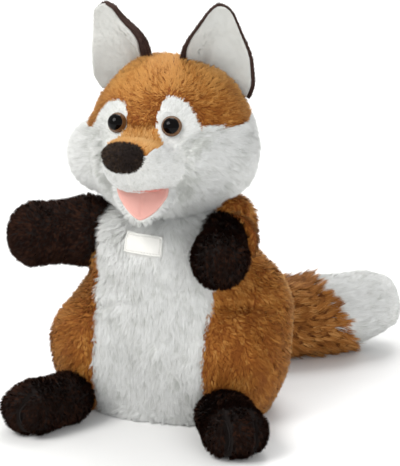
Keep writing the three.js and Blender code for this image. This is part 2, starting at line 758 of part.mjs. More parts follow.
function muzzleBridge() {
  return muzzleLoft(0)
    .subtract(muzzleLoft(-BRIDGE.cloth))
    .intersect(bridgeCut(0))
    .subtract(headBall(GAP))
    .subtract(noseBall(GAP));
}

function palate() {
  const top = MUZZLE.lipZ - GAP;
  const deep = -MOUTH.hingeY;
  const shape = new THREE.Shape();
  shape.absellipse(0, 0, PALATE.halfWidth, PALATE.length, 0, Math.PI * 2, false, 0);
  const geometry = new THREE.ExtrudeGeometry(shape, {
    depth: PALATE.thickness,
    bevelEnabled: false,
    curveSegments: LIMB_ROUND,
  });
  return toSolid(geometry, at(0, -deep, top - PALATE.thickness)).subtract(headBall(GAP)).subtract(jawReach);
}

function cheekPad(side) {
  const centre = [side * CHEEK.x, CHEEK.y, CHEEK.z];
  const whole = ellipsoid(centre, [CHEEK.radiusX, CHEEK.radiusY, CHEEK.radiusZ], LIMB_ROUND);
  return whole.subtract(headBall(GAP)).subtract(muzzleLoft(GAP));
}

// The eyes are sewing eyes: a dome and flange outside, a ribbed shank through the cloth, a washer inside.
function eyeFrame(side) {
  const x = side * EYE.x;
  const z = EYE.z - HEAD.z;
  const y = -Math.sqrt(HEAD.radius ** 2 * (1 - (x / HEAD.width) ** 2) - z ** 2);
  const out = new THREE.Vector3(x / HEAD.width ** 2, y / HEAD.radius ** 2, z / HEAD.radius ** 2);
  const turn = new THREE.Quaternion().setFromUnitVectors(upright, out.normalize());
  return at(x, y + HEAD.y, z + HEAD.z).multiply(new THREE.Matrix4().makeRotationFromQuaternion(turn));
}

const flangeFoot = GAP - EYE.socketDepth;

function eyeSocket(side) {
  const wide = EYE.domeRadius + GAP;
  const hole = SHANK.radius + SHANK.ribHeight + GAP;
  const deep = HEAD.cloth + SHANK.length;
  const floor = flangeFoot - GAP;
  const high = OVERSHOOT;
  const profile = [[0, -deep], [hole, -deep], [hole, floor], [wide, floor], [wide, high], [0, high]];
  return lathe(profile, LIMB_ROUND, eyeFrame(side));
}

function safetyEye(side) {
  const foot = flangeFoot - SHANK.length;
  const crest = SHANK.radius + SHANK.ribHeight;
  const profile = [[0, foot], [SHANK.tipRadius, foot], [SHANK.radius, foot + SHANK.tipLength]];
  for (let i = 0; i < SHANK.ribs; i++) {
    const z = foot + SHANK.firstRib + i * SHANK.ribPitch;
    profile.push([SHANK.radius, z], [crest, z + SHANK.ribCrest], [SHANK.radius, z + SHANK.ribFoot]);
  }
  profile.push([SHANK.radius, flangeFoot], [EYE.domeRadius, flangeFoot]);
  for (let i = 0; i <= DOME_RINGS; i++) {
    const angle = (i / DOME_RINGS) * (Math.PI / 2);
    const height = flangeFoot + EYE.flange + EYE.domeHeight * Math.sin(angle);
    profile.push([EYE.domeRadius * Math.cos(angle), height]);
  }
  return lathe(profile, LIMB_ROUND, eyeFrame(side));
}

// The washer is flat and the cloth behind it curves away, so it lies deeper by the bow under its edge.
const innerWidth = HEAD.width - HEAD.cloth;
const washerBow = (WASHER.radius ** 2 * (HEAD.radius - HEAD.cloth)) / (2 * innerWidth ** 2);
const washerTop = -HEAD.cloth - GAP - washerBow;

function eyeWasher(side) {
  const hole = SHANK.radius + SHANK.ribHeight + GAP;
  const low = washerTop - WASHER.thickness;
  const wide = WASHER.radius;
  const edge = [[hole, low], [wide, low], [wide, washerTop], [hole, washerTop], [hole, low]];
  const slot = box(
    [0, -WASHER.slotWidth / 2, low - OVERSHOOT],
    [hole + WASHER.slotLength, WASHER.slotWidth / 2, washerTop + OVERSHOOT],
  );
  const slots = Array.from({ length: WASHER.teeth }, (_, i) =>
    moved(slot, new THREE.Matrix4().makeRotationZ((i / WASHER.teeth) * Math.PI * 2)),
  );
  return moved(lathe(edge, LIMB_ROUND).subtract(joined(slots)), eyeFrame(side)).intersect(insideHead);
}

// Room in the filling for the washer and the end of the shank.
function washerRoom(side) {
  const wide = WASHER.radius + GAP;
  const low = washerTop - WASHER.thickness - GAP;
  const deep = flangeFoot - SHANK.length - GAP;
  const shank = SHANK.radius + SHANK.ribHeight + GAP;
  const profile = [[0, deep], [shank, deep], [shank, low], [wide, low], [wide, OVERSHOOT], [0, OVERSHOOT]];
  return lathe(profile, LIMB_ROUND, eyeFrame(side));
}

// The ears: a dark backing with a white lining in its hollow side, each curved across its width.
function earFrame(side) {
  const up = Math.sqrt(1 - (EAR.side / HEAD.width) ** 2 - (EAR.back / HEAD.radius) ** 2) * HEAD.radius;
  const root = new THREE.Vector3(side * EAR.side, HEAD.y + EAR.back, HEAD.z + up);
  const tip = new THREE.Vector3(side * EAR.tipX, EAR.tipY, EAR.tipZ);
  const out = root.clone().sub(new THREE.Vector3(...headCentre)).normalize();
  const wide = new THREE.Vector3(0, 1, 0).cross(out).normalize();
  const along = tip.clone().sub(root);
  return { root, wide, along, length: along.length() };
}

const earWidthAt = smooth(EAR.widthAt, EAR.widths.map((share) => [share]));

// A leaf between two depths of the ear, measured along its face, with its edge drawn in by rim.
function earLeaf(side, { near, far, rim = 0, foot = 0, grow = 0, edge = EAR.edge }) {
  const { root, wide, along, length } = earFrame(side);
  const level = along.clone().cross(new THREE.Vector3(0, 1, 0)).normalize();
  if (level.x < 0) level.negate();
  const slope = wide.x < 0 ? wide.clone().negate() : wide;
  const count = EAR_LEVELS;
  const across = EAR_ACROSS;
  const top = 1 - rim / length + grow / length;
  const bottom = (foot - grow) / length;
  const rings = [];
  for (let k = 0; k <= count; k++) {
    const part = bottom + ((top - bottom) * k) / count;
    const inUse = THREE.MathUtils.clamp(part, 0, 1);
    const direction = slope.clone().lerp(level, Math.min(1, inUse / EAR.levelAt)).normalize();
    direction.applyAxisAngle(along.clone().normalize(), side * THREE.MathUtils.degToRad(EAR.faceOut));
    const face = direction.clone().cross(along).normalize();
    if (face.y > 0) face.negate();
    const drawnIn = EAR.halfWidth * earWidthAt(inUse)[0] - rim * (1 - inUse / 2);
    const half = Math.max(drawnIn, EAR.tipHalfWidth) + grow;
    const centre = root.clone().addScaledVector(along, part);
    const edgeThin = (u) => 1 - (1 - edge) * Math.abs(u) ** 3;
    const point = (u, depth) =>
      centre
        .clone()
        .addScaledVector(direction, u * half)
        .addScaledVector(face, EAR.cup * u * u * (half / EAR.halfWidth) + depth);
    const ring = [];
    for (let i = -across; i <= across; i++) {
      const u = i / across;
      ring.push(point(u, near + (far - near) * edgeThin(u) + grow));
    }
    for (let i = across; i >= -across; i--) ring.push(point(i / across, near - grow));
    rings.push(ring);
  }
  return skin(rings);
}

const earBacking = (side, grow = 0) => earLeaf(side, { near: 0, far: EAR.backing, foot: 0, grow });
const earLining = (side) =>
  earLeaf(side, { near: EAR.backing + GAP, far: EAR.backing + GAP + EAR.lining, rim: EAR.rim, foot: 1 });

function earReach(side) {
  const { root, wide } = earFrame(side);
  const whole = earLeaf(side, { near: 0, far: EAR.backing + GAP + EAR.lining, grow: COPY_GAP, edge: 1 });
  const bent = (degrees) => moved(whole, turnedAbout(root.toArray(), wide, degrees));
  return joined(steps(-EAR.bend, EAR.bend, BEND_STEP).map(bent));
}

const eyeSockets = eyeSocket(LEFT).add(eyeSocket(RIGHT));
const headShell = headBall(0)
  .subtract(headBall(-HEAD.cloth, INNER_ROUND))
  .subtract(neckSeat)
  .subtract(eyeSockets)
  .subtract(earReach(LEFT))
  .subtract(earReach(RIGHT))
  .subtract(jawReach);
const crown = headShell.subtract(faceCut(LEFT, GAP)).subtract(faceCut(RIGHT, GAP));
const headBase = underHead.subtract(neckSeat).subtract(tubeHole).intersect(insideHead).subtract(jawReach);
const headFilling = [LEFT, RIGHT].reduce(
  (filling, side) => filling.subtract(washerRoom(side)).subtract(earReach(side)),
  insideHead
    .subtract(seat(neckCentre, NECK.dome + TURN_GAP + HEAD.cloth + GAP, INNER_ROUND))
    .subtract(tubeHole)
    .subtract(jawReach),
);

// The shoulders and arms
function shoulderCap(side) {
  const swung = { grow: COPY_GAP, across: REACH_ROUND, from: ROOT_CUT, fine: LIMB_END.copy };
  const room = joined([
    seat(shoulderCentre(side), ARM.root + TURN_GAP, LIMB_ROUND),
    ...[-SHOULDER.lower, 0, SHOULDER.raise].map((lift) => armSolid(side, ARM.rest[side], lift, swung)),
  ]);
  return ball(shoulderCentre(side), capRadius).subtract(room).subtract(doorway(side));
}

function sleeve(side) {
  const rest = ARM.rest[side];
  const hollow = armSolid(side, rest, 0, { grow: -ARM.cloth, fine: LIMB_END.hollow });
  return armSolid(side, rest, 0).subtract(hollow).subtract(doorway(side));
}

function pawFilling(side) {
  return armSolid(side, ARM.rest[side], 0, { grow: -ARM.cloth - GAP, from: ARM.pocket, fine: LIMB_END.hollow });
}

function foot(side) {
  const wide = FOOT.length * 4;
  const whole = footSolid(side, 0);
  return whole.intersect(box([-wide, -wide, GLOVE.hem.z], [wide, wide, wide]));
}

// The tail turns in a seat of its own, which lifts it, and the seat wags in the back of the glove.
function tailSeat() {
  const tail = tailLoft(TURN_GAP, TAIL.nearBody, REACH_ROUND);
  const room = joined([
    seat(tailCentre, TAIL.root + TURN_GAP, LIMB_ROUND),
    ...steps(-TAIL.drop, TAIL.lift, TAIL_LIFT_STEP).map((lift) => moved(tail, turnedAbout(tailCentre, sideways, lift))),
  ]);
  return ball(tailCentre, tailSeatRadius, LIMB_ROUND).subtract(room);
}

function tailPieces() {
  const whole = tailSolid();
  const cutPoint = tailCurve.getPointAt(TAIL.whiteFrom);
  const along = tailCurve.getTangentAt(TAIL.whiteFrom);
  const turn = new THREE.Quaternion().setFromUnitVectors(upright, along);
  const far = 4 * TAIL.bushy;
  const beyond = (shift) =>
    moved(
      box([-far, -far, 0], [far, far, 2 * far]),
      at(...cutPoint.clone().addScaledVector(along, shift).toArray()).multiply(
        new THREE.Matrix4().makeRotationFromQuaternion(turn),
      ),
    );
  return { brown: whole.subtract(beyond(-GAP / 2)), white: whole.intersect(beyond(GAP / 2)) };
}

// Meshes
const puppet = new THREE.Group();

function piece(name, solid, colour, finish = PLUSH) {
  const found = solid.getMesh();
  const positions = new Float32Array(found.numVert * 3);
  for (let i = 0; i < found.numVert; i++)
    positions.set(found.vertProperties.subarray(i * found.numProp, i * found.numProp + 3), i * 3);
  const geometry = new THREE.BufferGeometry();
  geometry.setAttribute("position", new THREE.BufferAttribute(positions, 3));
  geometry.setIndex(new THREE.BufferAttribute(new Uint32Array(found.triVerts), 1));
  geometry.computeVertexNormals();
  const mesh = new THREE.Mesh(geometry, new THREE.MeshStandardMaterial({ color: colour, ...finish }));
  mesh.name = name;
  puppet.add(mesh);
}

piece("belly_panel", bellyPanel, COLOUR.white);
piece("hem_band", hemBand(), COLOUR.lining);
piece("chest_label", chestLabel(), COLOUR.label);
piece("finger_tube", fingerTube(), COLOUR.lining);
piece("head_crown", crown, COLOUR.brown);
piece("head_base", headBase, COLOUR.lining);
piece("head_filling", headFilling, COLOUR.filling);
piece("muzzle", muzzleBody(), COLOUR.white);
piece("muzzle_bridge", muzzleBridge(), COLOUR.brown);
piece("nose", noseBall(0), COLOUR.nose);
piece("palate_lining", palate(), COLOUR.pink);
piece("lower_jaw", jawBlock(0), COLOUR.white);
piece("tongue_lining", tongueBlock(), COLOUR.pink);
const tail = tailPieces();
piece("tail_seat", tailSeat(), COLOUR.brown);
piece("tail_brush", tail.brown, COLOUR.tailBrown);
piece("tail_tip", tail.white, COLOUR.white);
for (const side of [LEFT, RIGHT]) {
  const hand = side === LEFT ? "left" : "right";
  piece("body_back_" + hand, backHalf(side), COLOUR.brown);
  piece("haunch_pad_" + hand, haunchPad(side), COLOUR.filling);
  piece("face_" + hand, headShell.intersect(faceCut(side, 0)), COLOUR.white);
  piece("cheek_" + hand, cheekPad(side), COLOUR.white);
  piece("eye_" + hand, safetyEye(side), COLOUR.iris, PLASTIC);
  piece("eye_washer_" + hand, eyeWasher(side), COLOUR.washer, PLASTIC);
  piece("ear_backing_" + hand, earBacking(side), COLOUR.rim);
  piece("ear_lining_" + hand, earLining(side), COLOUR.white);
  piece("shoulder_cap_" + hand, shoulderCap(side), COLOUR.brown);
  piece("sleeve_" + hand, sleeve(side), COLOUR.dark);
  piece("paw_filling_" + hand, pawFilling(side), COLOUR.filling);
  piece("foot_" + hand, foot(side), COLOUR.dark);
}

// The origin is the middle of the puppet's outline on the surface that it sits on.
const outline = new THREE.Box3().setFromObject(puppet);
const middle = outline.getCenter(new THREE.Vector3());
puppet.position.set(-middle.x, -middle.y, -outline.min.z);
puppet.updateMatrixWorld(true);

export default puppet;
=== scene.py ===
"""A sitting fox hand puppet in plush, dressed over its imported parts. Forms are worked out in millimetres in
the frame of the part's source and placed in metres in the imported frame."""

import math

import bpy
import numpy as np
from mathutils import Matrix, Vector
from mathutils.kdtree import KDTree

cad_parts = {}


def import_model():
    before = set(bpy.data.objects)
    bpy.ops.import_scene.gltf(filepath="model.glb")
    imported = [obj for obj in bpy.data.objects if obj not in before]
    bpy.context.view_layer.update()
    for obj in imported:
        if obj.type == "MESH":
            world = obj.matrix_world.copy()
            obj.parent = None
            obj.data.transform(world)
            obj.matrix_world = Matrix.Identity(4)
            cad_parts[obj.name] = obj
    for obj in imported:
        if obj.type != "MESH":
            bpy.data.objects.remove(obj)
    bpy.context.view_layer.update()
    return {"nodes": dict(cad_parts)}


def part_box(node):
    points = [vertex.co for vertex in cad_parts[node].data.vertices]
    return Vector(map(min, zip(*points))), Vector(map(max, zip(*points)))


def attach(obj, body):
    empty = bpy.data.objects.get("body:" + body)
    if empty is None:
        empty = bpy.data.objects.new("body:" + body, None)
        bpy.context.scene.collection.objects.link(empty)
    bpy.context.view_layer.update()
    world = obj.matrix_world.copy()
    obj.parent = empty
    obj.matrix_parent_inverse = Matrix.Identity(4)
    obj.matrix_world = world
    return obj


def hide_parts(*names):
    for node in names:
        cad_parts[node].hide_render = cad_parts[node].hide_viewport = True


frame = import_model()

THIN = 1.0  # the share of the strands that is made
SIDES = ((1, "left"), (-1, "right"))

# Main places and sizes, in millimetres in the frame of the part's source
NOSE = np.array([0, -78.5, 163.5])
HEAD = np.array([0, -12, 159])
EYE = (15.6, 174)
EYE_SHIFT = (1.2, 1.4)  # how far the eyes' domes lie from those places, across and up
SHOULDER = np.array([44, -16, 99])
ARM_FORWARD = {1: 91, -1: 18}
FOOT = np.array([46, -50, 14.7])
FOOT_SPLAY = 32.5
TAIL_ROOT = np.array([0, 49, 22])
TAIL_ROUTE = [(0, 0, 0), (3, 17, 0.5), (20, 36, 1), (46, 52, 1.5), (74, 72, 3.5), (91, 86, 6)]
TAIL_BUSHY = 23.7
MOUTH = np.array([0, -53.5, 138])
GLOVE = np.array([
    # height, side, front, back
    [0, 53, 43, 46],
    [36, 57, 46, 54],
    [78, 49, 47.5, 42],
    [98, 45, 47, 30],
    [112, 38, 41, 26],
    [122, 22, 28, 14],
])

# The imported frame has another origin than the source, and the nose's box gives the shift
low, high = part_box("nose")
SHIFT = (np.array(low) + np.array(high)) / 2 - NOSE / 1000


def world(points):
    return np.asarray(points, float) / 1000 + SHIFT


def norm(v):
    return np.linalg.norm(v, axis=1)


def hump(x, width):
    """1 at 0, fading to both sides."""
    return np.exp(-(x / width) ** 2)


# Fields: negative inside, about the distance in millimetres
def ellipsoid(p, centre, radii):
    q = (p - np.asarray(centre)) / np.asarray(radii, float)
    k0 = norm(q)
    k1 = norm(q / np.asarray(radii, float))
    return k0 * (k0 - 1) / np.maximum(k1, 1e-9)


def ball(p, centre, radius):
    return norm(p - np.asarray(centre)) - radius


def smooth_min(a, b, k):
    h = np.clip(0.5 + 0.5 * (b - a) / k, 0, 1)
    return b * (1 - h) + a * h - k * h * (1 - h)


def smooth_max(a, b, k):
    return -smooth_min(-a, -b, k)


def ease(x):
    x = np.clip(x, 0, 1)
    return x * x * (3 - 2 * x)


def between(value, places, values):
    """Values on smooth curves between stations (Catmull-Rom)."""
    places, values = np.asarray(places, float), np.asarray(values, float)
    slopes = np.gradient(values, places, axis=0)
    x = np.clip(value, places[0], places[-1])
    i = np.clip(np.searchsorted(places, x) - 1, 0, len(places) - 2)
    h = places[i + 1] - places[i]
    t = (x - places[i]) / h
    if values.ndim > 1:
        t, h = t[:, None], h[:, None]
    a, b = values[i], values[i + 1]
    m, n = slopes[i] * h, slopes[i + 1] * h
    return ((2 * t**3 - 3 * t**2 + 1) * a + (t**3 - 2 * t**2 + t) * m
            + (-2 * t**3 + 3 * t**2) * b + (t**3 - t**2) * n)


def section(u, v, half_u, half_v, exponent):
    r = np.hypot(u, v)
    g = (np.abs(u / half_u) ** exponent + np.abs(v / half_v) ** exponent) ** (1 / exponent)
    return r - r / np.maximum(g, 1e-6)


def waves(seed, scale, count=14):
    """A smooth noise of position, about -1 to 1."""
    rng = np.random.default_rng(seed)
    direction = rng.normal(size=(count, 3))
    stretch = rng.uniform(0.6, 1.5, count) * 2 * math.pi / scale / norm(direction)
    direction *= stretch[:, None]
    phase = rng.uniform(0, 2 * math.pi, count)

    def noise(p):
        return np.sin(p @ direction.T + phase).sum(1) / math.sqrt(count / 2) * 0.6

    return noise


def mesh_of(field, low, high, step):
    """A skin of four-sided faces over a field's zero surface: points, faces and normals."""
    axes = [np.arange(a, b + step, step) for a, b in zip(low, high)]
    grid = np.stack(np.meshgrid(*axes, indexing="ij"), -1)
    shape = grid.shape[:3]
    value = field(grid.reshape(-1, 3)).reshape(shape)
    cells = tuple(n - 1 for n in shape)
    total, hits, crossings = np.zeros(cells + (3,)), np.zeros(cells), []
    for axis in range(3):
        b, c = (axis + 1) % 3, (axis + 2) % 3
        near, far = [slice(None)] * 3, [slice(None)] * 3
        near[axis], far[axis] = slice(None, -1), slice(1, None)
        v0, v1 = value[tuple(near)], value[tuple(far)]
        cross = (v0 < 0) != (v1 < 0)
        point = grid[tuple(near)].copy()
        point[..., axis] += np.where(cross, v0 / np.where(cross, v0 - v1, 1), 0) * step
        for db in (0, 1):
            for dc in (0, 1):
                pick = [slice(None)] * 3
                pick[b], pick[c] = slice(db, shape[b] - 1 + db), slice(dc, shape[c] - 1 + dc)
                hit = cross[tuple(pick)]
                total += point[tuple(pick)] * hit[..., None]
                hits += hit
        crossings.append((axis, b, c, cross, v0 < 0))
    used = hits > 0
    index = np.full(cells, -1)
    index[used] = np.arange(used.sum())
    points = total[used] / hits[used][:, None]
    faces = []
    for axis, b, c, cross, inside in crossings:
        at = np.argwhere(cross)
        at = at[(at[:, b] > 0) & (at[:, c] > 0) & (at[:, b] < cells[b]) & (at[:, c] < cells[c])]
        outward = inside[tuple(at.T)]
        corners = []
        for db, dc in ((-1, -1), (0, -1), (0, 0), (-1, 0)):
            cell = at.copy()
            cell[:, b] += db
            cell[:, c] += dc
            corners.append(index[tuple(cell.T)])
        quad = np.stack(corners, 1)
        faces.append(np.where(outward[:, None], quad, quad[:, ::-1]))
    faces = np.concatenate(faces)
    for _ in range(3):
        slope = gradient(field, points)
        move = slope * (field(points) / np.maximum((slope**2).sum(1), 1e-6))[:, None]
        far = norm(move)
        points = points - move * np.minimum(1, 0.4 * step / np.maximum(far, 1e-9))[:, None]
    slope = gradient(field, points)
    return points, faces, unit(slope)


def gradient(field, p, h=0.05):
    return np.stack([(field(p + e) - field(p - e)) / (2 * h) for e in np.eye(3) * h], 1)


def unit(v):
    return v / np.maximum(norm(v), 1e-9)[:, None]


def tangent(vector, normal):
    return unit(vector - normal * (vector * normal).sum(1)[:, None])


# Materials
def tone(code):
    """A colour such as #A8692F in the renderer's linear values."""
    parts = [int(code[i:i + 2], 16) / 255 for i in (1, 3, 5)]
    return [c / 12.92 if c <= 0.04045 else ((c + 0.055) / 1.055) ** 2.4 for c in parts] + [1]


def material(name, colour, rough=(0.75, 0.95), sheen=0.0, sheen_tone=None, scale=900.0, bump=0.3,
             depth=0.0003, weave=False, specular=0.3, blend=None, blend_scale=300.0):
    """A procedural finish: fine bump and roughness from textures of position, and with blend a colour that
    wanders towards it."""
    made = bpy.data.materials.new(name)
    made.use_nodes = True
    nodes, links = made.node_tree.nodes, made.node_tree.links
    shader = nodes["Principled BSDF"].inputs
    shader["Base Color"].default_value = tone(colour)
    shader["Specular IOR Level"].default_value = specular
    shader["Sheen Weight"].default_value = sheen
    shader["Sheen Roughness"].default_value = 0.45
    shader["Sheen Tint"].default_value = tone(sheen_tone or colour)
    place = nodes.new("ShaderNodeTexCoord").outputs["Object"]

    def texture(kind, **values):
        fresh = nodes.new("ShaderNodeTex" + kind)
        for key, value in values.items():
            fresh.inputs[key].default_value = value
        links.new(place, fresh.inputs["Vector"])
        return fresh

    grain = texture("Noise", Scale=scale, Detail=4).outputs["Fac"]
    height = grain
    if weave:
        both = nodes.new("ShaderNodeMath")
        both.operation = "MULTIPLY"
        for thread, axis in enumerate("XZ"):
            wave = texture("Wave", Scale=scale, Distortion=0.6)
            wave.bands_direction = axis
            links.new(wave.outputs["Fac"], both.inputs[thread])
        height = both.outputs[0]
    spread = nodes.new("ShaderNodeMapRange")
    spread.inputs["To Min"].default_value, spread.inputs["To Max"].default_value = rough
    links.new(grain, spread.inputs["Value"])
    links.new(spread.outputs["Result"], shader["Roughness"])
    dent = nodes.new("ShaderNodeBump")
    dent.inputs["Strength"].default_value = bump
    dent.inputs["Distance"].default_value = depth
    links.new(height, dent.inputs["Height"])
    links.new(dent.outputs["Normal"], shader["Normal"])
    if blend:
        mix = nodes.new("ShaderNodeMix")
        mix.data_type = "RGBA"
        mix.inputs["A"].default_value = tone(colour)
        mix.inputs["B"].default_value = tone(blend)
        links.new(texture("Noise", Scale=blend_scale, Detail=3).outputs["Fac"], mix.inputs["Factor"])
        links.new(mix.outputs["Result"], shader["Base Color"])
    return made


def plush(name, slot, root, tips, sheen, sheen_tone, specular=0.25):
    """A pile's slot and finishes: its roots, then the tones of its tips."""
    def finish(part, colour, shine):
        return material(f"{name}_{part}", colour, (0.55, 0.85), shine, sheen_tone, 2500, 0.15,
                        specular=specular)

    finishes = [finish(f"tip_{i}", colour, sheen) for i, colour in enumerate(tips)]
    return slot, [finish("root", root, sheen * 0.5)] + finishes


def skin_cloth(name, colour, sheen, sheen_tone, scale=1400, bump=0.6):
    """The cloth that a pile stands on."""
    return material(name, colour, (0.75, 0.95), sheen, sheen_tone, scale, bump)


BROWN = plush("brown_pile", "brown_plush", "#733A10", ["#8E4F19", "#A26122", "#B57631", "#CA904A"], 0.5,
              "#F6D49A")
GOLD = plush("bridge_pile", "brown_plush", "#A87030", ["#C68C46", "#D39C58", "#DEAC6C"], 0.45, "#F4D298")
# The first, darkest tip tone of the white pile is painted shade, taken mostly where the cheek hollows push
# the tones darker and now and then at random elsewhere.
WHITE = plush("white_pile", "white_plush", "#DBDCD8", ["#CDCFCA", "#E2E3E0", "#E9EAE8", "#EFF0EE"], 0.15,
              "#FFFFFF")
DARK = plush("dark_pile", "dark_plush", "#0F0603", ["#150905", "#1F100A", "#3A2318"], 0.1, "#8C5A46", 0.06)
TAIL = plush("tail_pile", "tail_plush", "#6A3913", ["#86501E", "#9C6128", "#B27537", "#CC9556"], 0.3,
             "#E8B878")
NOSE_PILE = plush("nose_pile", "nose_plush", "#0C0705", ["#120C08", "#20160F", "#3C2F24"], 0.2, "#80705E",
                  0.12)
EAR_PILE = plush("ear_velour_pile", "ear_velour", "#C6C7C3", ["#CFD0CC", "#D8D9D5", "#DFE0DC"], 0.2,
                 "#FFFFFF")
DARK_EAR = plush("ear_pile", "ear_rim_plush", "#2A1A15", ["#3E2A24", "#4A342D", "#58423A"], 0.35, "#9A7C70")

BROWN_SKIN = skin_cloth("brown_skin", "#7A4014", 0.3, "#E0A85C")
GOLD_SKIN = skin_cloth("bridge_skin", "#A86A2C", 0.3, "#E8B468")
WHITE_SKIN = skin_cloth("white_skin", "#DEDEDA", 0.2, "#FFFFFF")
DARK_SKIN = skin_cloth("dark_skin", "#100704", 0.05, "#70554A")
TAIL_SKIN = skin_cloth("tail_skin", "#6E3B14", 0.2, "#D09050")
NOSE_SKIN = skin_cloth("nose_skin", "#1C1310", 0.3, "#6A5648", 1600, 0.7)
LINING = material("lining_cloth", "#D8D2C6", (0.7, 0.9), 0.1, "#FFFFFF", 2200, 0.5, 0.0002, True)
HEM = material("hem_cloth", "#C9C2B4", (0.7, 0.9), 0.1, "#FFFFFF", 2600, 0.6, 0.0002, True)
PINK = material("pink_cloth", "#DDAAA0", (0.6, 0.8), 0.35, "#FFDCD4", 1500, 0.25, 0.00015, blend="#D39C92",
                blend_scale=90)
# Deeper pink than the tongue's: painted shade on the palate's cloth, for the roof of the mouth under the lip.
SHADED_PALATE_PINK = material("palate_cloth", "#C4796E", (0.6, 0.8), 0.2, "#F0B0A4", 1500, 0.25, 0.00015)
EAR_VELOUR = material("ear_velour", "#CACBC7", (0.75, 0.95), 0.4, "#FFFFFF", 1900, 0.4, 0.0002)
EAR_RIM = material("ear_rim", "#33211C", (0.7, 0.9), 0.5, "#8A6C62", 1900, 0.5, 0.0003)
LABEL_CLOTH = material("label_cloth", "#E4E3DE", (0.6, 0.8), 0.15, "#FFFFFF", 1300, 0.5, 0.0002, True)
TOE_STITCH = material("toe_thread", "#120A08", (0.5, 0.7), 0.1, "#503830", 3000, 0.4)
LABEL_STITCH = material("label_stitch", "#C9C8C2", (0.5, 0.7), 0.15, "#FFFFFF", 3000, 0.4)
PUPIL = material("eye_black", "#050303", (0.05, 0.09), scale=60, bump=0.02, specular=0.13)
IRIS = material("eye_amber", "#7A5430", (0.08, 0.14), scale=400, bump=0.05, specular=0.3, blend="#4A2E18",
                blend_scale=420)
WASHER = material("washer_plastic", "#E8E6E0", (0.35, 0.5), scale=500, bump=0.08, specular=0.5)


# Building
def build(name, points, faces, materials, index=None, normals=None):
    """A mesh object from points in millimetres and arrays of faces that each have one number of corners."""
    mesh = bpy.data.meshes.new(name)
    placed = world(points).astype(np.float32)
    corners = np.concatenate([f.ravel() for f in faces]).astype(np.int32)
    sizes = np.concatenate([np.full(len(f), f.shape[1]) for f in faces])
    mesh.vertices.add(len(placed))
    mesh.vertices.foreach_set("co", placed.ravel())
    mesh.loops.add(len(corners))
    mesh.loops.foreach_set("vertex_index", corners)
    mesh.polygons.add(len(sizes))
    mesh.polygons.foreach_set("loop_start", np.concatenate([[0], np.cumsum(sizes)[:-1]]).astype(np.int32))
    if index is not None:
        mesh.polygons.foreach_set("material_index", np.asarray(index, np.int32))
    mesh.polygons.foreach_set("use_smooth", np.ones(len(sizes), bool))
    for item in materials:
        mesh.materials.append(item)
    mesh.update(calc_edges=True)
    if normals is not None:
        shading = mesh.attributes.new("custom_normal", "FLOAT_VECTOR", "POINT")
        shading.data.foreach_set("vector", np.asarray(normals, np.float32).ravel())
        mesh.update()
    made = bpy.data.objects.new(name, mesh)
    bpy.context.scene.collection.objects.link(made)
    return made


def settle(made, body, slot, nodes=()):
    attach(made, body)
    if nodes:
        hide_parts(*nodes)


def show_skin(name, surface, cloth, body, slot, nodes):
    """One cloth as a smooth skin that stands for its nodes of the part."""
    settle(build(name, surface[0], [surface[1]], [cloth]), body, slot, nodes)


def part_of(surface, mask):
    """The faces under mask, with only the points that they use."""
    points, faces, normals = surface
    kept = faces[mask]
    used, flat = np.unique(kept, return_inverse=True)
    return points[used], flat.reshape(kept.shape), normals[used]


def middles(surface):
    return surface[0][surface[1]].mean(1)


def roots_on(surface, density, rng):
    points, faces, normals = surface
    corners = np.concatenate([faces[:, [0, 1, 2]], faces[:, [0, 2, 3]]])
    a, b, c = (points[corners[:, i]] for i in range(3))
    area = norm(np.cross(b - a, c - a)) / 2
    total = area.sum()
    count = int(total * density * THIN)
    pick = rng.choice(len(corners), count, p=area / total)
    r, s = np.sqrt(rng.random(count)), rng.random(count)
    share = np.stack([1 - r, r * (1 - s), r * s], 1)[:, :, None]
    return (points[corners[pick]] * share).sum(1), unit((normals[corners[pick]] * share).sum(1)), total


def towards(direction, spread=0.0):
    """A comb that runs one way, spread to the sides by the distance from the middle."""
    return lambda p: p * [spread, 0, 0] + direction


FLOOR_GAP = 0.25
DOWN = np.array([0, 0, -1.0])
swirl = waves(101, 26)
mottle = waves(102, 15)


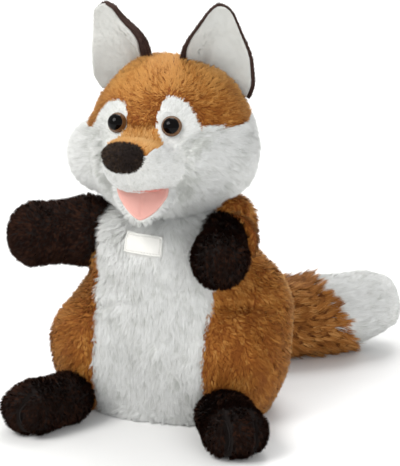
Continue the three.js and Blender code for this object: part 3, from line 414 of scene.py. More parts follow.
def pile(name, surface, body, coat, density, length, comb, width, lean, clump, gather, wild, seed, rows=1,
         keep=None, soft=0.75, uneven=1.0, paler=None, blotch=0.17):
    """Strands of plush as flat ribbons that taper to their tips, combed, gathered in tufts about clump wide
    and leaning by two angles from upright. wild is how far they turn off the comb, soft how far they take
    their shading from the cloth, uneven how much one tuft differs from the next, paler how far their tones
    move to the light end at each point and blotch how strong their patches of tone are."""
    slot, tones = coat
    rng = np.random.default_rng(seed)
    p, n, area = roots_on(surface, density, rng)
    if keep is not None:
        kept = keep(p)
        p, n = p[kept], n[kept]
    total = len(p)
    t = tangent(comb(p), n)
    count = min(total, max(8, int(area / clump**2)))
    centre = rng.choice(total, count, replace=False)
    tree = KDTree(count)
    for i, c in enumerate(centre):
        tree.insert(p[c], i)
    tree.balance()
    near = np.array([tree.find(q)[1] for q in p])
    turn = rng.normal(0, wild, count)[near] + rng.normal(0, wild * 0.4, total) + wild * swirl(p)
    side = np.cross(n, t)
    t = t * np.cos(turn)[:, None] + side * np.sin(turn)[:, None]
    size = length(p) if callable(length) else np.full(total, float(length))
    size = size * (1 + uneven * rng.uniform(-0.2, 0.15, count))[near]
    size = (size * rng.uniform(0.85, 1.1, total))[:, None]
    lift = (rng.normal(0, 0.14 * uneven, count)[near] + rng.normal(0, 0.08, total))[:, None]
    first, last = (math.radians(angle) + lift for angle in lean)
    control = p + size * 0.5 * (n * np.cos(first) + t * np.sin(first))
    tip = control + size * 0.5 * (n * np.cos(last) + t * np.sin(last))
    control += (control[centre][near] - control) * gather * 0.35
    tip += (tip[centre][near] - tip) * gather
    along = unit(tip - p)
    across = unit(np.cross(along, n))
    roll = rng.normal(0, 0.45, total)[:, None]
    across = across * np.cos(roll) + np.cross(along, across) * np.sin(roll)
    half = across * (width / 2 * rng.uniform(0.75, 1.25, total) / math.sqrt(THIN))[:, None]
    base = p - n * 0.4
    columns = []
    for f in (row / rows for row in range(rows)):
        spot = base * (1 - f) ** 2 + control * 2 * f * (1 - f) + tip * f**2
        spread = half * (1 - 0.25 * f)
        columns += [spot - spread, spot + spread]
    columns.append(tip)
    each = len(columns)
    points = np.stack(columns, 1).reshape(-1, 3)
    start = np.arange(total)[:, None] * each
    quads = [start + np.array([[2 * i, 2 * i + 1, 2 * i + 3, 2 * i + 2]]) for i in range(rows - 1)]
    tips = start + np.array([[each - 3, each - 2, each - 1]])
    points[:, 2] = np.maximum(points[:, 2], FLOOR_GAP)
    variants = len(tones) - 1
    chance = 0.5 + blotch * mottle(p) + rng.normal(0, 0.17, count)[near] + rng.normal(0, 0.15, total)
    if paler is not None:
        chance += paler(p)
    elif coat is WHITE:
        chance += 0.1
    shade = 1 + np.clip((chance * variants).astype(int), 0, variants - 1)
    index = ([np.zeros(total, int)] if rows > 1 else []) + [shade] * max(rows - 1, 1)
    facing = np.cross(across, along)
    facing *= np.where((facing * n).sum(1) < 0, -1, 1)[:, None]
    shading = unit(n * soft + facing * (1 - soft) + t * 0.12 + rng.normal(0, 0.08, (total, 3)))
    normals = np.repeat(shading, each, axis=0)
    settle(build(name, points, quads + [tips], tones, np.concatenate(index), normals), body, slot)


# The glove body
def glove(p, grow=0.0):
    x, y, z = p.T
    s = between(z, GLOVE[:, 0], GLOVE[:, 1:]) + grow
    return section(x, y, s[:, 0], np.where(y < 0, s[:, 1], s[:, 2]), 2.3)


rumple = waves(3, 46)
ripple = waves(5, 17)


def torso_outside(p):
    """The glove's outside with its haunches, flank and shoulders, its folds and its sewn-in seams."""
    x, y, z = p.T
    left_haunch = ellipsoid(p, (38.2, -10, 36), (32.2, 35.0, 37.0))
    left_flank = ellipsoid(p, (36, 4, 58), (31.0, 28.0, 34.0))
    left_shoulder = ellipsoid(p, (34, -2, 108.5), (15.0, 13.5, 18.5))
    right_haunch = ellipsoid(p, (-36.5, -13, 34), (30.2, 33.6, 34.8))
    right_shoulder = ball(p, (-36.5, -12, 97), 16.0)
    right_waist = hump(z - 84, 11) * ease((-x - 22) / 12)
    d = smooth_max(glove(p, -1.6), z - 122, 8)
    d = smooth_min(smooth_min(d, left_haunch, 14), left_flank, 10) + 3.6 * right_waist
    d = smooth_min(smooth_min(d, right_haunch, 8), left_shoulder, 8)
    d = smooth_min(d, right_shoulder, 9)
    front = ease((-20 - y) / 12)
    fold = front * ease((x + 4) / 16) * ease((40 - x) / 10)
    level = z + 0.22 * (x - 15)
    d = d + fold * (0.8 * hump(level - 82.5, 4) - 1.1 * hump(level - 90, 6))
    crease = ease((x - 30) / 10) * ease((-y - 4) / 12)
    d = d + crease * 1.8 * hump(z - 71 + 0.12 * (x - 30), 2.8)
    left = ease((-x - 2) / 10) * front
    d = d + left * 1.2 * hump(z - 74 - 0.25 * x, 3)
    d = d + 0.9 * rumple(p) + 0.35 * ripple(p)
    seam = hump(x, 1.3) * ease((y - 5) / 10)
    edge = np.abs(x) - panel_half(z)
    panel = hump(edge, 1.6) * front
    return d + 1.3 * seam + 1.3 * panel


def panel_half(z):
    return np.interp(z, [0, 40, 70, 88, 106, 128], [33.5, 31.5, 33.5, 34, 33, 31])


def hand_room(p):
    return np.maximum(glove(p, -6.2), p[:, 2] - 117)


def torso(p):
    d = smooth_max(torso_outside(p), -hand_room(p), 1.5)
    return smooth_max(d, 0.4 - p[:, 2], 1.0)


def on_panel(p):
    return (np.abs(p[:, 0]) < panel_half(p[:, 2])) & (p[:, 1] < -14)


def show_torso():
    skin = mesh_of(torso, (-74, -62, -3), (74, 60, 127), 1.7)
    at = middles(skin)
    outer = torso_outside(at) > -1.6
    panel = on_panel(at)
    hem = outer & (at[:, 2] < 7)
    left = at[:, 0] > 0
    for name, mask, cloth, slot, nodes in (
        ("belly_panel", panel, WHITE_SKIN, "white_plush", ()),
        ("body_back_left", ~panel & left, BROWN_SKIN, "brown_plush", ("haunch_pad_left",)),
        ("body_back_right", ~panel & ~left, BROWN_SKIN, "brown_plush", ("haunch_pad_right",)),
    ):
        points, faces, _ = part_of(skin, mask)
        made = build(name + "_skin", points, [faces], [cloth, LINING], (~outer[mask]).astype(int))
        settle(made, "torso", slot, (name, *nodes))
    label_low, label_high = np.array([-12.4, 99.8]), np.array([9.2, 111.4])

    def off_label(p):
        flat = p[:, [0, 2]]
        return ~((flat > label_low) & (flat < label_high)).all(1)

    def belly_comb(p):
        out = np.zeros_like(p)
        edge = np.abs(p[:, 0]) / panel_half(p[:, 2])
        out[:, 0] = np.sign(p[:, 0]) * 0.4 * edge**5
        return out + DOWN

    def belly_length(p):
        return np.interp(p[:, 2], [0, 12, 60, 85, 98, 110, 125], [4.0, 4.6, 4.8, 5.2, 5.2, 7, 11])

    pile("belly_panel_pile", part_of(skin, panel & outer), "torso", WHITE, 9.0, belly_length, belly_comb,
         0.26, (54, 77), 1.8, 0.16, 0.26, 11, keep=off_label, soft=0.92, uneven=0.4)

    def back_comb(p):
        out = np.tile(DOWN, (len(p), 1))
        for side in (1, -1):
            way = p - np.array([side * 30, -30, 62])
            near = np.clip(1 - norm(p - np.array([side * 44, -18, 34])) / 48, 0, 1)
            out += way / 55 * near[:, None]
        return out

    def lit_above(p):
        return 0.22 * ease((p[:, 2] - 52) / 30) - 0.14

    for side, name in SIDES:
        half = ~panel & (at[:, 0] * side > 0)
        pile(f"body_back_{name}_pile", part_of(skin, half & outer), "torso", BROWN, 6.8, 3.7, back_comb,
             0.3, (36, 64), 1.45, 0.4, 0.5, 12 + side, paler=lit_above)
        pile(f"body_back_{name}_hem_pile", part_of(skin, half & hem), "torso", BROWN, 5.0, 4.2, back_comb,
             0.3, (30, 56), 2.0, 0.4, 0.8, 16 + side)
    pile("belly_panel_hem_pile", part_of(skin, panel & hem), "torso", WHITE, 6.0, 5.0, belly_comb, 0.28,
         (26, 52), 1.9, 0.3, 0.8, 19, soft=0.85)


def show_hem():
    def band(p):
        ring = smooth_max(glove(p, -6.4), -glove(p, -8.2), 0.6)
        return smooth_max(ring, np.abs(p[:, 2] - 6) - 5.4, 0.7)

    skin = mesh_of(band, (-60, -52, -1), (60, 52, 13), 1.2)
    show_skin("hem_band_cloth", skin, HEM, "torso", "lining_cloth", ("hem_band",))


def show_tube():
    def tube(p):
        r = np.hypot(p[:, 0], p[:, 1] + 8)
        d = np.abs(r - 6.2 - 0.25 * np.sin(5 * np.arctan2(p[:, 1] + 8, p[:, 0]) + p[:, 2] * 0.1)) - 1.1
        d = smooth_max(d, 106.4 - p[:, 2], 0.6)
        flange = smooth_max(np.abs(p[:, 2] - 116 + 0.05 * r) - 1.0, r - 15, 0.6)
        flange = smooth_max(flange, 5.4 - r, 0.6)
        return smooth_max(smooth_min(d, flange, 1.2), p[:, 2] - 160, 0.6)

    skin = mesh_of(tube, (-18, -26, 104), (18, 10, 163), 0.9)
    show_skin("finger_tube_cloth", skin, LINING, "neck", "lining_cloth", ("finger_tube",))


# The head
MUZZLE = np.array([
    # y, middle height, side, up, down
    [-84, 163, 1, 1, 1],
    [-78.5, 162.5, 8.5, 5.5, 6.5],
    [-72, 160.5, 14.0, 9.0, 13.5],
    [-59, 157, 20.0, 11.5, 18.5],
    [-42, 155, 25.0, 12.5, 18.0],
    [-30, 154, 27.0, 13, 15],
])


def muzzle_form(p):
    x, y, z = p.T
    s = between(y, MUZZLE[:, 0], MUZZLE[:, 1:])
    up = z - s[:, 0]
    d = section(x, up, s[:, 1], np.where(up > 0, s[:, 2], s[:, 3]), 2.2)
    d = smooth_max(d, -82 - y, 4)
    lip = 137.6 + 2.9 * ease(np.abs(x) / 15) + 0.12 * (y + 66)
    return smooth_max(smooth_max(d, lip - z, 2.0), y + 34, 2)


head_rumple = waves(8, 38)


def cheek_line(z):
    """Distance of the cheek's front edge from the middle of the face."""
    return np.interp(z, [128, 140, 150, 160, 168, 174], [17, 19.5, 22.5, 25.0, 28.5, 31.5])


def head_form(p):
    """The stuffed head with cheeks, snout, sunk eye seats, creased brow, face grooves and open mouth."""
    x, y, z = p.T
    aside = np.zeros_like(p)
    aside[:, 0] = 4.6 * ease((np.abs(x) - 14) / 18) * ease((z - 140) / 20)
    d = ellipsoid(p - aside, HEAD, (44.2, 44.8, 44.8))
    for side in (1, -1):
        cheek = ellipsoid(p, (side * 38.0, -18, 151 + side), (13.8, 18.0, 17.8))
        jowl = ellipsoid(p, (side * 16, -44, 150), (10.5, 11, 11.5))
        eye = eye_place(side)[0]
        d = smooth_min(smooth_min(d, cheek, 9), jowl, 7) + 1.9 * hump(norm(p - eye), 7)
    d = smooth_min(d, muzzle_form(p), 5)
    brow = hump(z - HEAD[2] - 14.5, 2.6) * ease((-y - 42) / 8) * ease((12 - np.abs(x)) / 6)
    raised = p - np.outer((x / 15) ** 2, [0, 0, 3.6])
    mouth = ellipsoid(raised, (1.2, -55.5, 135.4), (18.5, 8, 4.0))
    valley = hump(np.abs(x) - cheek_line(z), 4) * ease((-28 - y) / 10)
    valley = valley * ease((z - 130) / 10) * ease((174 - z) / 8)
    d = smooth_max(d + 1.7 * brow + 3.0 * valley, -mouth, 1.2)
    return d + 0.6 * head_rumple(p)


def eye_place(side):
    """Centre and direction of an eye on the head. It looks more to the front than the cloth under it."""
    x, z = side * EYE[0] + EYE_SHIFT[0], EYE[1] + EYE_SHIFT[1] - HEAD[2]
    y = -math.sqrt(46**2 * (1 - (x / 45.3) ** 2) - z**2)
    out = np.array([x / 45.3**2, y / 46**2, z / 46**2])
    out = 0.4 * out / np.linalg.norm(out) + 0.6 * np.array([0.06, -0.95, 0.3])
    return np.array([x, y + HEAD[1], z + HEAD[2]]), out / np.linalg.norm(out)


FACE_EDGE = {
    1: ([0, 8.6, 9.4, 11.5, 14, 17.5, 22.5, 27, 30, 32.5, 34.5, 60],
        [150, 150, 185, 188.2, 189, 188.4, 185.8, 181.5, 177, 171.5, 165.5, 165.5]),
    -1: ([0, 7.6, 8.4, 9.6, 12, 16, 20, 25, 28.5, 31.5, 34.5, 60],
         [150, 150, 181, 184.5, 185.8, 185.6, 184.2, 180.5, 176, 170.5, 165.5, 165.5]),
}
STRIPE_OFF = -0.8
CROWN, FACE, CHEEK, SNOUT, BRIDGE, BASE = range(6)
CHEEK_TOP = (166.5, 171.8)  # the cheeks' upper edges, right and left


def head_region(p):
    """The cloth that covers the head at each point."""
    x, y, z = p.T
    wide = np.abs(x)
    across = x - STRIPE_OFF
    brow = np.where(across > 0, *(np.interp(np.abs(across), *FACE_EDGE[side]) for side in (1, -1)))
    white = (z < brow) & (y < -6)
    upper = np.where(x > 0, CHEEK_TOP[1] + 3.0 * ease((42 - wide) / 10), CHEEK_TOP[0])
    cheek = (y < 3) & (wide > cheek_line(z)) & (z < upper) & (z > 124)
    region = np.full(len(p), CROWN)
    region[white] = FACE
    region[cheek] = CHEEK
    flare = 9.4 + 4.6 * ease((-52 - y) / 6) - 2.4 * ease((-62 - y) / 16)
    front = y < -50
    region[front & (muzzle_form(p) < 2.2) & (z > 130)] = SNOUT
    region[front & (z > 164.5) & (wide < flare) & (z < 173.5)] = BRIDGE
    region[(z < 121) & (region != SNOUT)] = BASE
    return region


def calm(p):
    """A share of the pile's length that falls towards the borders between the head's cloths."""
    def white(p):
        return np.isin(head_region(p), (FACE, CHEEK, SNOUT))

    here = white(p)
    near = np.array([(2.2, 0, 0), (-2.2, 0, 0), (0, 0, 2.2), (0, 0, -2.2)])
    return 1 - 0.5 * np.any([here != white(p + step) for step in near], axis=0)


def show_head():
    skin = mesh_of(head_form, (-62, -88, 108), (62, 38, 208), 1.5)
    at = middles(skin)
    region = head_region(at)
    left = at[:, 0] > 0
    for name, mask, cloth, slot, nodes in (
        ("head_crown", region == CROWN, BROWN_SKIN, "brown_plush", ("head_filling",)),
        ("face_left", (region == FACE) & left, WHITE_SKIN, "white_plush", ()),
        ("face_right", (region == FACE) & ~left, WHITE_SKIN, "white_plush", ()),
        ("cheek_left", (region == CHEEK) & left, WHITE_SKIN, "white_plush", ()),
        ("cheek_right", (region == CHEEK) & ~left, WHITE_SKIN, "white_plush", ()),
        ("muzzle", region == SNOUT, WHITE_SKIN, "white_plush", ()),
        ("muzzle_bridge", region == BRIDGE, GOLD_SKIN, "brown_plush", ()),
        ("head_base", region == BASE, BROWN_SKIN, "lining_cloth", ()),
    ):
        show_skin(name + "_skin", part_of(skin, mask), cloth, "head", slot, (name, *nodes))
    parting = np.array([13, -41, 194])

    def crown_comb(p):
        x, y, z = p.T
        gone = p - parting
        way = gone / (8 + norm(gone))[:, None]
        back = np.stack([x * 0.014 - 0.25, np.full(len(p), 0.3), -ease((y + 20) / 50) * 1.4], 1)
        stripe = ease((16 - np.abs(x)) / 8) * ease((192 - z) / 10) * ease((-30 - y) / 10)
        low = (ease((178 - z) / 20) * 0.9 + stripe * 1.3)[:, None] * DOWN
        return way + back + low

    def crown_length(p):
        stripe = ease((12 - np.abs(p[:, 0])) / 4) * ease((-46 - p[:, 1]) / 6)
        return (3.7 - 1.3 * stripe) * calm(p)

    def lit_above(p):
        return 0.42 * ease((p[:, 2] - 182) / 16) - 0.1 * ease((182 - p[:, 2]) / 10)

    pile("head_crown_pile", part_of(skin, region == CROWN), "head", BROWN, 7.0, crown_length, crown_comb,
         0.28, (36, 64), 1.35, 0.4, 0.5, 21, paler=lit_above)
    eyes = [eye_place(side)[0] for side, _ in SIDES]

    def off_eyes(p):
        return np.min([norm(p - eye) for eye in eyes], axis=0) > 5.4

    def face_comb(p):
        out = unit(p - np.array([0, -62, 158]))
        out[:, 2] -= 0.25 * ease((150 - p[:, 2]) / 20)
        return out

    def face_length(p):
        from_nose = norm(p - np.array([0, -60, 158]))
        grown = np.interp(from_nose, [18, 30, 42, 60], [2.0, 2.6, 4.2, 6.0])
        return grown * calm(p) + 3 * ease((132 - p[:, 2]) / 8)

    # Painted shade: the white tones move darker in the hollow beside each cheek's front edge, between heights
    # 128 and 174; elsewhere they take the small lift to lighter tones that white pile gets anyway.
    def hollow(p):
        beside = hump(np.abs(p[:, 0]) - cheek_line(p[:, 2]) - 1, 6)
        return 0.1 - 0.5 * beside * ease((p[:, 2] - 128) / 10) * ease((174 - p[:, 2]) / 10)

    pile("face_pile", part_of(skin, region == FACE), "head", WHITE, 9.0, face_length, face_comb, 0.26,
         (52, 74), 1.6, 0.15, 0.26, 22, keep=off_eyes, soft=0.93, uneven=0.4, paler=hollow)

    def cheek_comb(p):
        out = unit(p - np.array([0, -46, 158]))
        out[:, 2] -= 0.35
        return out

    def cheek_length(p):
        grown = np.interp(np.abs(p[:, 0]), [18, 26, 36, 46], [3.0, 4.5, 5.6, 6.4])
        return grown + 2.5 * ease((134 - p[:, 2]) / 8)

    pile("cheek_pile", part_of(skin, region == CHEEK), "head", WHITE, 11.0, cheek_length, cheek_comb, 0.28,
         (50, 73), 1.7, 0.12, 0.3, 23, soft=0.96, uneven=0.35, paler=hollow)

    def muzzle_comb(p):
        return np.stack([np.sign(p[:, 0]) * 0.5, np.ones(len(p)), np.where(p[:, 2] > 158, 0.1, -0.35)], 1)

    def off_nose(p):
        return norm((p - NOSE + [1.2, 0, 0]) / np.array([12.5, 8.5, 8.5])) > 1.0

    pile("muzzle_pile", part_of(skin, region == SNOUT), "head", WHITE, 9.0, 1.7, muzzle_comb, 0.24,
         (50, 74), 1.4, 0.16, 0.25, 24, keep=off_nose, soft=0.9, uneven=0.5)
    pile("muzzle_bridge_pile", part_of(skin, region == BRIDGE), "head", GOLD, 6.5, 2.4,
         towards([0, 0.9, 0.6], 0.03), 0.28, (40, 70), 1.8, 0.3, 0.25, 25, keep=off_nose)
    chin = at[:, 1] <= -8
    pile("head_base_pile", part_of(skin, (region == BASE) & ~chin), "head", BROWN, 5.0, 4, towards(DOWN),
         0.32, (30, 62), 2.4, 0.36, 0.3, 26)
    pile("chin_pile", part_of(skin, (region == BASE) & chin), "head", WHITE, 7.0, 7.5,
         lambda p: face_comb(p) * [1, 1, 0.4] - [0, 0, 0.9], 0.3, (30, 56), 2.2, 0.2, 0.3, 27, soft=0.9,
         uneven=0.6)


def show_nose():
    def form(p):
        q = p - (NOSE + np.array([-1.2, 0.6, -0.8]))
        wide = 10.9 * (1 + 0.1 * np.clip(q[:, 2] / 8, -1, 1))
        r = np.abs(q[:, 0] / wide) ** 2.5 + np.abs(q[:, 1] / 8.0) ** 2.3 + np.abs(q[:, 2] / 7.3) ** 2.4
        return (r ** (1 / 2.4) - 1) * 8.2

    skin = mesh_of(form, (-16, -90, 151), (16, -66, 176), 0.9)
    show_skin("nose_skin", skin, NOSE_SKIN, "head", "nose_plush", ("nose",))
    pile("nose_pile", skin, "head", NOSE_PILE, 8, 1.7, towards([0, 0.8, -0.5], 0.05), 0.26, (14, 46), 1.3,
         0.3, 0.6, 31, soft=0.6)


def ring_faces(rings, sides):
    """The faces between closed rings of points that follow one another."""
    first, step = np.arange(rings - 1)[:, None] * sides, np.arange(sides)
    a, b = first + step, first + (step + 1) % sides
    return np.stack([a, b, b + sides, a + sides], -1).reshape(-1, 4)


def show_eyes():
    """Domes of black with an amber ring. Their washers keep the part's form and get a finish only."""
    radius, height, seat, sides = 5.15, 4.4, -1.6, 40
    angles = np.linspace(0, math.pi / 2, 15)[:-1]
    profile = [(0.02, seat - 0.02), (radius - 0.25, seat), (radius + 0.35, seat + 0.05),
               (radius + 0.45, seat + 0.5), (radius + 0.2, seat + 0.9)]
    profile += [(radius * math.cos(a), seat + 0.9 + height * math.sin(a)) for a in angles]
    profile = np.array(profile + [(0.02, seat + 0.9 + height)])
    wide, high = np.repeat((profile[1:] + profile[:-1]) / 2, sides, axis=0).T
    amber = (wide > radius * 0.83) & (high > seat + 0.6)
    turn = np.arange(sides) * 2 * math.pi / sides
    rings = [np.stack([r * np.cos(turn), r * np.sin(turn), np.full(sides, h)], 1) for r, h in profile]
    for side, name in SIDES:
        centre, out = eye_place(side)
        lean = np.array(Vector((0, 0, 1)).rotation_difference(Vector(out)).to_matrix())
        dome = build(f"eye_{name}_dome", np.concatenate(rings) @ lean.T + centre,
                     [ring_faces(len(rings), sides)], [PUPIL, IRIS], amber)
        settle(dome, "head", "eye_plastic", (f"eye_{name}",))
        finish = frame["nodes"][f"eye_washer_{name}"].data.materials
        finish.clear()
        finish.append(WASHER)


# The mouth
DROOP = math.radians(50)
JAW_OUT = np.array([0, -math.cos(DROOP), -math.sin(DROOP)])
JAW_UP = np.array([0, -math.sin(DROOP), math.cos(DROOP)])


def jaw_local(p):
    q = p - MOUTH
    t = q @ JAW_OUT
    return p[:, 0] - 0.8 - 0.12 * t, t, q @ JAW_UP


def lip_line(x, t, half, length):
    """A tongue-shaped outline: straight across at the hinge, rounded at its end."""
    share = np.clip(t / length, 0, 1)
    width = half * (1 - share**1.35) ** 0.72
    return np.maximum(np.maximum(np.abs(x) - width, (t - length) * 0.9), -t - 5.5) * 0.8


def show_mouth():
    def jaw(p):
        x, t, h = jaw_local(p)
        r = lip_line(x, t, 15.4, 18.0)
        hollow = 1.3 * np.clip(1 - (x / 13) ** 2 - ((t - 8) / 9) ** 2, 0, 1)
        top = h + 0.4 + hollow
        under = -h - 4.6 + 1.8 * np.clip(t / 18, 0, 1) ** 2
        return smooth_max(smooth_max(r, top, 1.6), smooth_max(under, -t - 6, 1.5), 2.4)

    skin = mesh_of(jaw, (-19, -78, 112), (19, -45, 146), 1.0)
    show_skin("lower_jaw_skin", skin, WHITE_SKIN, "jaw", "white_plush", ("lower_jaw",))

    def off_tongue(p):
        x, t, h = jaw_local(p)
        return ~((h > -2.6) & (lip_line(x, t, 13.6, 16.4) < 0))

    pile("lower_jaw_pile", skin, "jaw", WHITE, 9.0, 4.2, towards([0, 0.5, -1.0], 0.05), 0.26, (34, 60), 1.8,
         0.2, 0.3, 41, keep=off_tongue, soft=0.88, uneven=0.6)

    def tongue(p):
        x, t, h = jaw_local(p)
        r = lip_line(x, t, 14.8, 16.9)
        hollow = 1.1 * np.clip(1 - (x / 12) ** 2 - ((t - 8) / 9) ** 2, 0, 1)
        crease = 0.5 * hump(x, 0.9) * ease(t / 5) * ease((16 - t) / 5)
        return smooth_max(r, np.abs(h + 0.2 + hollow + crease) - 0.9, 1.0)

    skin = mesh_of(tongue, (-17, -76, 114), (17, -45, 146), 0.7)
    show_skin("tongue_cloth", skin, PINK, "jaw", "pink_cloth", ("tongue_lining",))

    def palate(p):
        q = p - np.array([0, -54, 140.6])
        r = section(q[:, 0], q[:, 1], 13.4, 11, 2.1)
        arch = 1.4 * np.clip(1 - (q[:, 0] / 14) ** 2, 0, 1)
        return smooth_max(r, np.abs(q[:, 2] - arch + 0.6 - 0.1 * (q[:, 1] + 13)) - 0.9, 0.9)

    skin = mesh_of(palate, (-18, -74, 134), (18, -40, 146), 0.8)
    show_skin("palate_cloth", skin, SHADED_PALATE_PINK, "head", "pink_cloth", ("palate_lining",))


# Ears
EAR_ROOT = np.array([25.2, 3.4, 193.99])
EAR_TIP = np.array([32.2, -16, 236])
EAR_HALF = 19.4
EAR_FACE_OUT = 23
EAR_AT = [-0.3, 0, 0.1, 0.2, 0.3, 0.4, 0.5, 0.6, 0.7, 0.8, 0.9, 0.95, 1.0]
# Distance of an ear's edges from its middle line up its length: ear side, then the edge's side
EAR_EDGE = {
    (1, 1): [17, 20.1, 20.0, 19.8, 19.3, 18.0, 16.0, 13.9, 12.0, 10.1, 7.8, 6.0, 2.6],
    (1, -1): [16, 18.9, 19.0, 19.5, 19.8, 19.5, 18.2, 16.2, 13.1, 9.9, 6.6, 4.5, 1.4],
    (-1, 1): [8, 16.4, 19.0, 20.9, 22.3, 21.9, 19.5, 15.6, 11.8, 8.8, 6.0, 3.4, 0.4],
    (-1, -1): [18, 20.7, 20.0, 19.3, 18.3, 17.1, 15.5, 13.9, 12.3, 10.6, 8.2, 5.0, 1.2],
}
EAR_TIP_LIFT = {1: 1.2, -1: -0.8}
EAR_SLANT = {1: 0.0, -1: 0.009}
EAR_DRAWN_IN = {1: (1.8, 3.0), -1: (9.0, 0.1)}  # how far the backing shows past the lining's edges
EAR_ROLL = {1: (1.3, 1.6), -1: (2.6, -0.6)}  # how far the backing's edges turn forward
EAR_CUP = {(1, 1): 4.2, (1, -1): 4.2, (-1, 1): 2.1, (-1, -1): 4.2}


def ear_frame(side):
    root, tip = EAR_ROOT * [side, 1, 1], EAR_TIP * [side, 1, 1] + [0, 0, EAR_TIP_LIFT[side]]
    length = np.linalg.norm(tip - root)
    along = (tip - root) / length
    out = root - HEAD
    slope = np.array([out[2], 0, -out[0]]) / math.hypot(out[0], out[2])
    level = np.cross(along, [0, 1, 0])
    level = level / np.linalg.norm(level) * np.sign(level[0])
    return root, along, slope, level, length


def ear_local(side, p):
    """Share of the ear's length at each point, and its places across the ear and forward of it."""
    root, along, slope, level, length = ear_frame(side)
    q = p - root
    v = q @ along / length
    share = np.clip(v / 0.6, 0, 1)[:, None]
    across = unit(slope * (1 - share) + level * share)
    angle = side * math.radians(EAR_FACE_OUT)
    lengthwise = along * (across @ along)[:, None]
    across = (across * math.cos(angle) + np.cross(along, across) * math.sin(angle)
              + lengthwise * (1 - math.cos(angle)))
    face = unit(np.cross(across, along))
    face = face * -np.sign(face[:, 1])[:, None]
    flat = q - along * (v * length)[:, None]
    return v, (flat * across).sum(1), (flat * face).sum(1), length


def ear_form(side, near, far, rim=(0.0, 0.0), roll=(0.0, 0.0)):
    """A cupped leaf between two depths, measured forward from its middle surface. rim draws its edges in
    and roll turns them forward, each with one value for the edge towards +X and one for the other."""
    crinkle = waves(40 + side, 24)

    def form(p):
        v, u, w, length = ear_local(side, p)
        up = v - EAR_SLANT[side] * np.maximum(u, 0)
        whole = between(up, EAR_AT, np.array([EAR_EDGE[side, 1], EAR_EDGE[side, -1]]).T)
        whole = np.where(u > 0, whole[:, 0], whole[:, 1])
        half = whole - np.where(u > 0, rim[0], rim[1]) * np.clip((1.15 - up) / 0.9, 0, 1)
        edge = np.abs(u) - half
        share = np.clip(np.abs(u) / np.maximum(whole, 1), 0, 1.2)
        cup = np.where(u > 0, EAR_CUP[side, 1], EAR_CUP[side, -1]) * share**2 * whole / EAR_HALF
        fold = 1.8 * hump(u + side * (9 - 7 * v), 3.2) * ease((0.72 - v) / 0.4)
        depth = w - cup + fold * ease((w + 2) / 2) - 0.35 * crinkle(p)
        front = far + np.where(u > 0, roll[0], roll[1]) * hump(np.minimum(edge, 0), 1.4)
        thick = np.maximum(depth - front, near - depth)
        d = smooth_max(thick, smooth_max(edge * 0.8, (v - 1) * length + min(max(rim), 1.2), 1.5), 1.0)
        return smooth_max(d, -(v + 0.24) * length, 1)

    return form


def show_ears():
    for side, name in SIDES:
        low, high = (4 if side > 0 else -56, -28, 174), (56 if side > 0 else -4, 18, 240)
        up = towards(ear_frame(side)[1])
        lining_form = ear_form(side, 1.0, 2.6, rim=EAR_DRAWN_IN[side])
        backing = mesh_of(ear_form(side, 0.1, 1.7, roll=EAR_ROLL[side]), low, high, 0.8)
        show_skin(f"ear_backing_{name}_velour", backing, EAR_RIM, f"ear_{name}", "ear_rim_plush",
                  (f"ear_backing_{name}",))
        lining = mesh_of(lining_form, low, high, 0.8)
        show_skin(f"ear_lining_{name}_velour", lining, EAR_VELOUR, f"ear_{name}", "ear_velour",
                  (f"ear_lining_{name}",))

        def bare(p):
            return lining_form(p) > 0.3

        def facing(p):
            return ear_local(side, p)[2] > -0.5

        pile(f"ear_backing_{name}_pile", backing, f"ear_{name}", DARK_EAR, 7.0, 1.2, up, 0.24, (40, 70),
             1.6, 0.25, 0.3, 51 + side, keep=bare)
        pile(f"ear_lining_{name}_pile", lining, f"ear_{name}", EAR_PILE, 7.0, 0.9, up, 0.24, (50, 74), 1.8,
             0.15, 0.3, 55 + side, keep=facing, soft=0.93, uneven=0.3)


# Limbs
def arm_axis(side):
    angle = math.radians(ARM_FORWARD[side])
    return np.array([side * math.cos(angle), -math.sin(angle), 0])


ARM_TO_PAW = 33  # from the middle of the shoulder to the middle of the paw
# An arm's radii at its root, middle and paw, how far the paw's end reaches, and how its ends lie off the axis
ARM = {
    1: {"radii": (13.0, 14.2, 14.5), "blunt": 15.4, "at_root": (-9.5, 1, 5.5), "at_end": (0, 0, 3.4)},
    -1: {"radii": (18.6, 17.6, 16.6), "blunt": 13.2, "at_root": (0, 0, 3.6), "at_end": (0, 0, 1.2)},
}
CAP_RADIUS = {1: 15.0, -1: 16.2}
LEFT_CAP_OFF = (-5.0, 1, 4.0)


def arm_form(side):
    centre = SHOULDER * [side, 1, 1]
    axis = arm_axis(side)
    root, middle, end = ARM[side]["radii"]
    at_root, at_end = np.array(ARM[side]["at_root"]), np.array(ARM[side]["at_end"])
    blunt = ARM[side]["blunt"]
    crease = waves(60 + side, 22)

    def form(p):
        share = ease((p - centre) @ axis / ARM_TO_PAW)[:, None]
        p = p - at_root * (1 - share) - at_end * share
        q = p - centre
        t = q @ axis
        away = q - t[:, None] * axis
        r = norm(away)
        width = between(t, [-8, 0, 12, 20, ARM_TO_PAW], [root, root, middle, middle - 0.4, end])
        tube = np.maximum(smooth_max(r - width, -t, 2), t - ARM_TO_PAW - 1)
        paw = np.stack([t - ARM_TO_PAW, r, np.zeros(len(p))], 1)
        d = smooth_min(tube, ellipsoid(paw, (0, 0, 0), (blunt, end + 0.5, 1)), 3)
        d = smooth_min(d, ball(p, centre, root), 3)
        if side > 0:
            d = d + 1.5 * hump(away @ np.cross(axis, [0, 0, 1]), 0.9) * ease((t - 20) / 8)
        return d + 0.55 * crease(p)

    return form


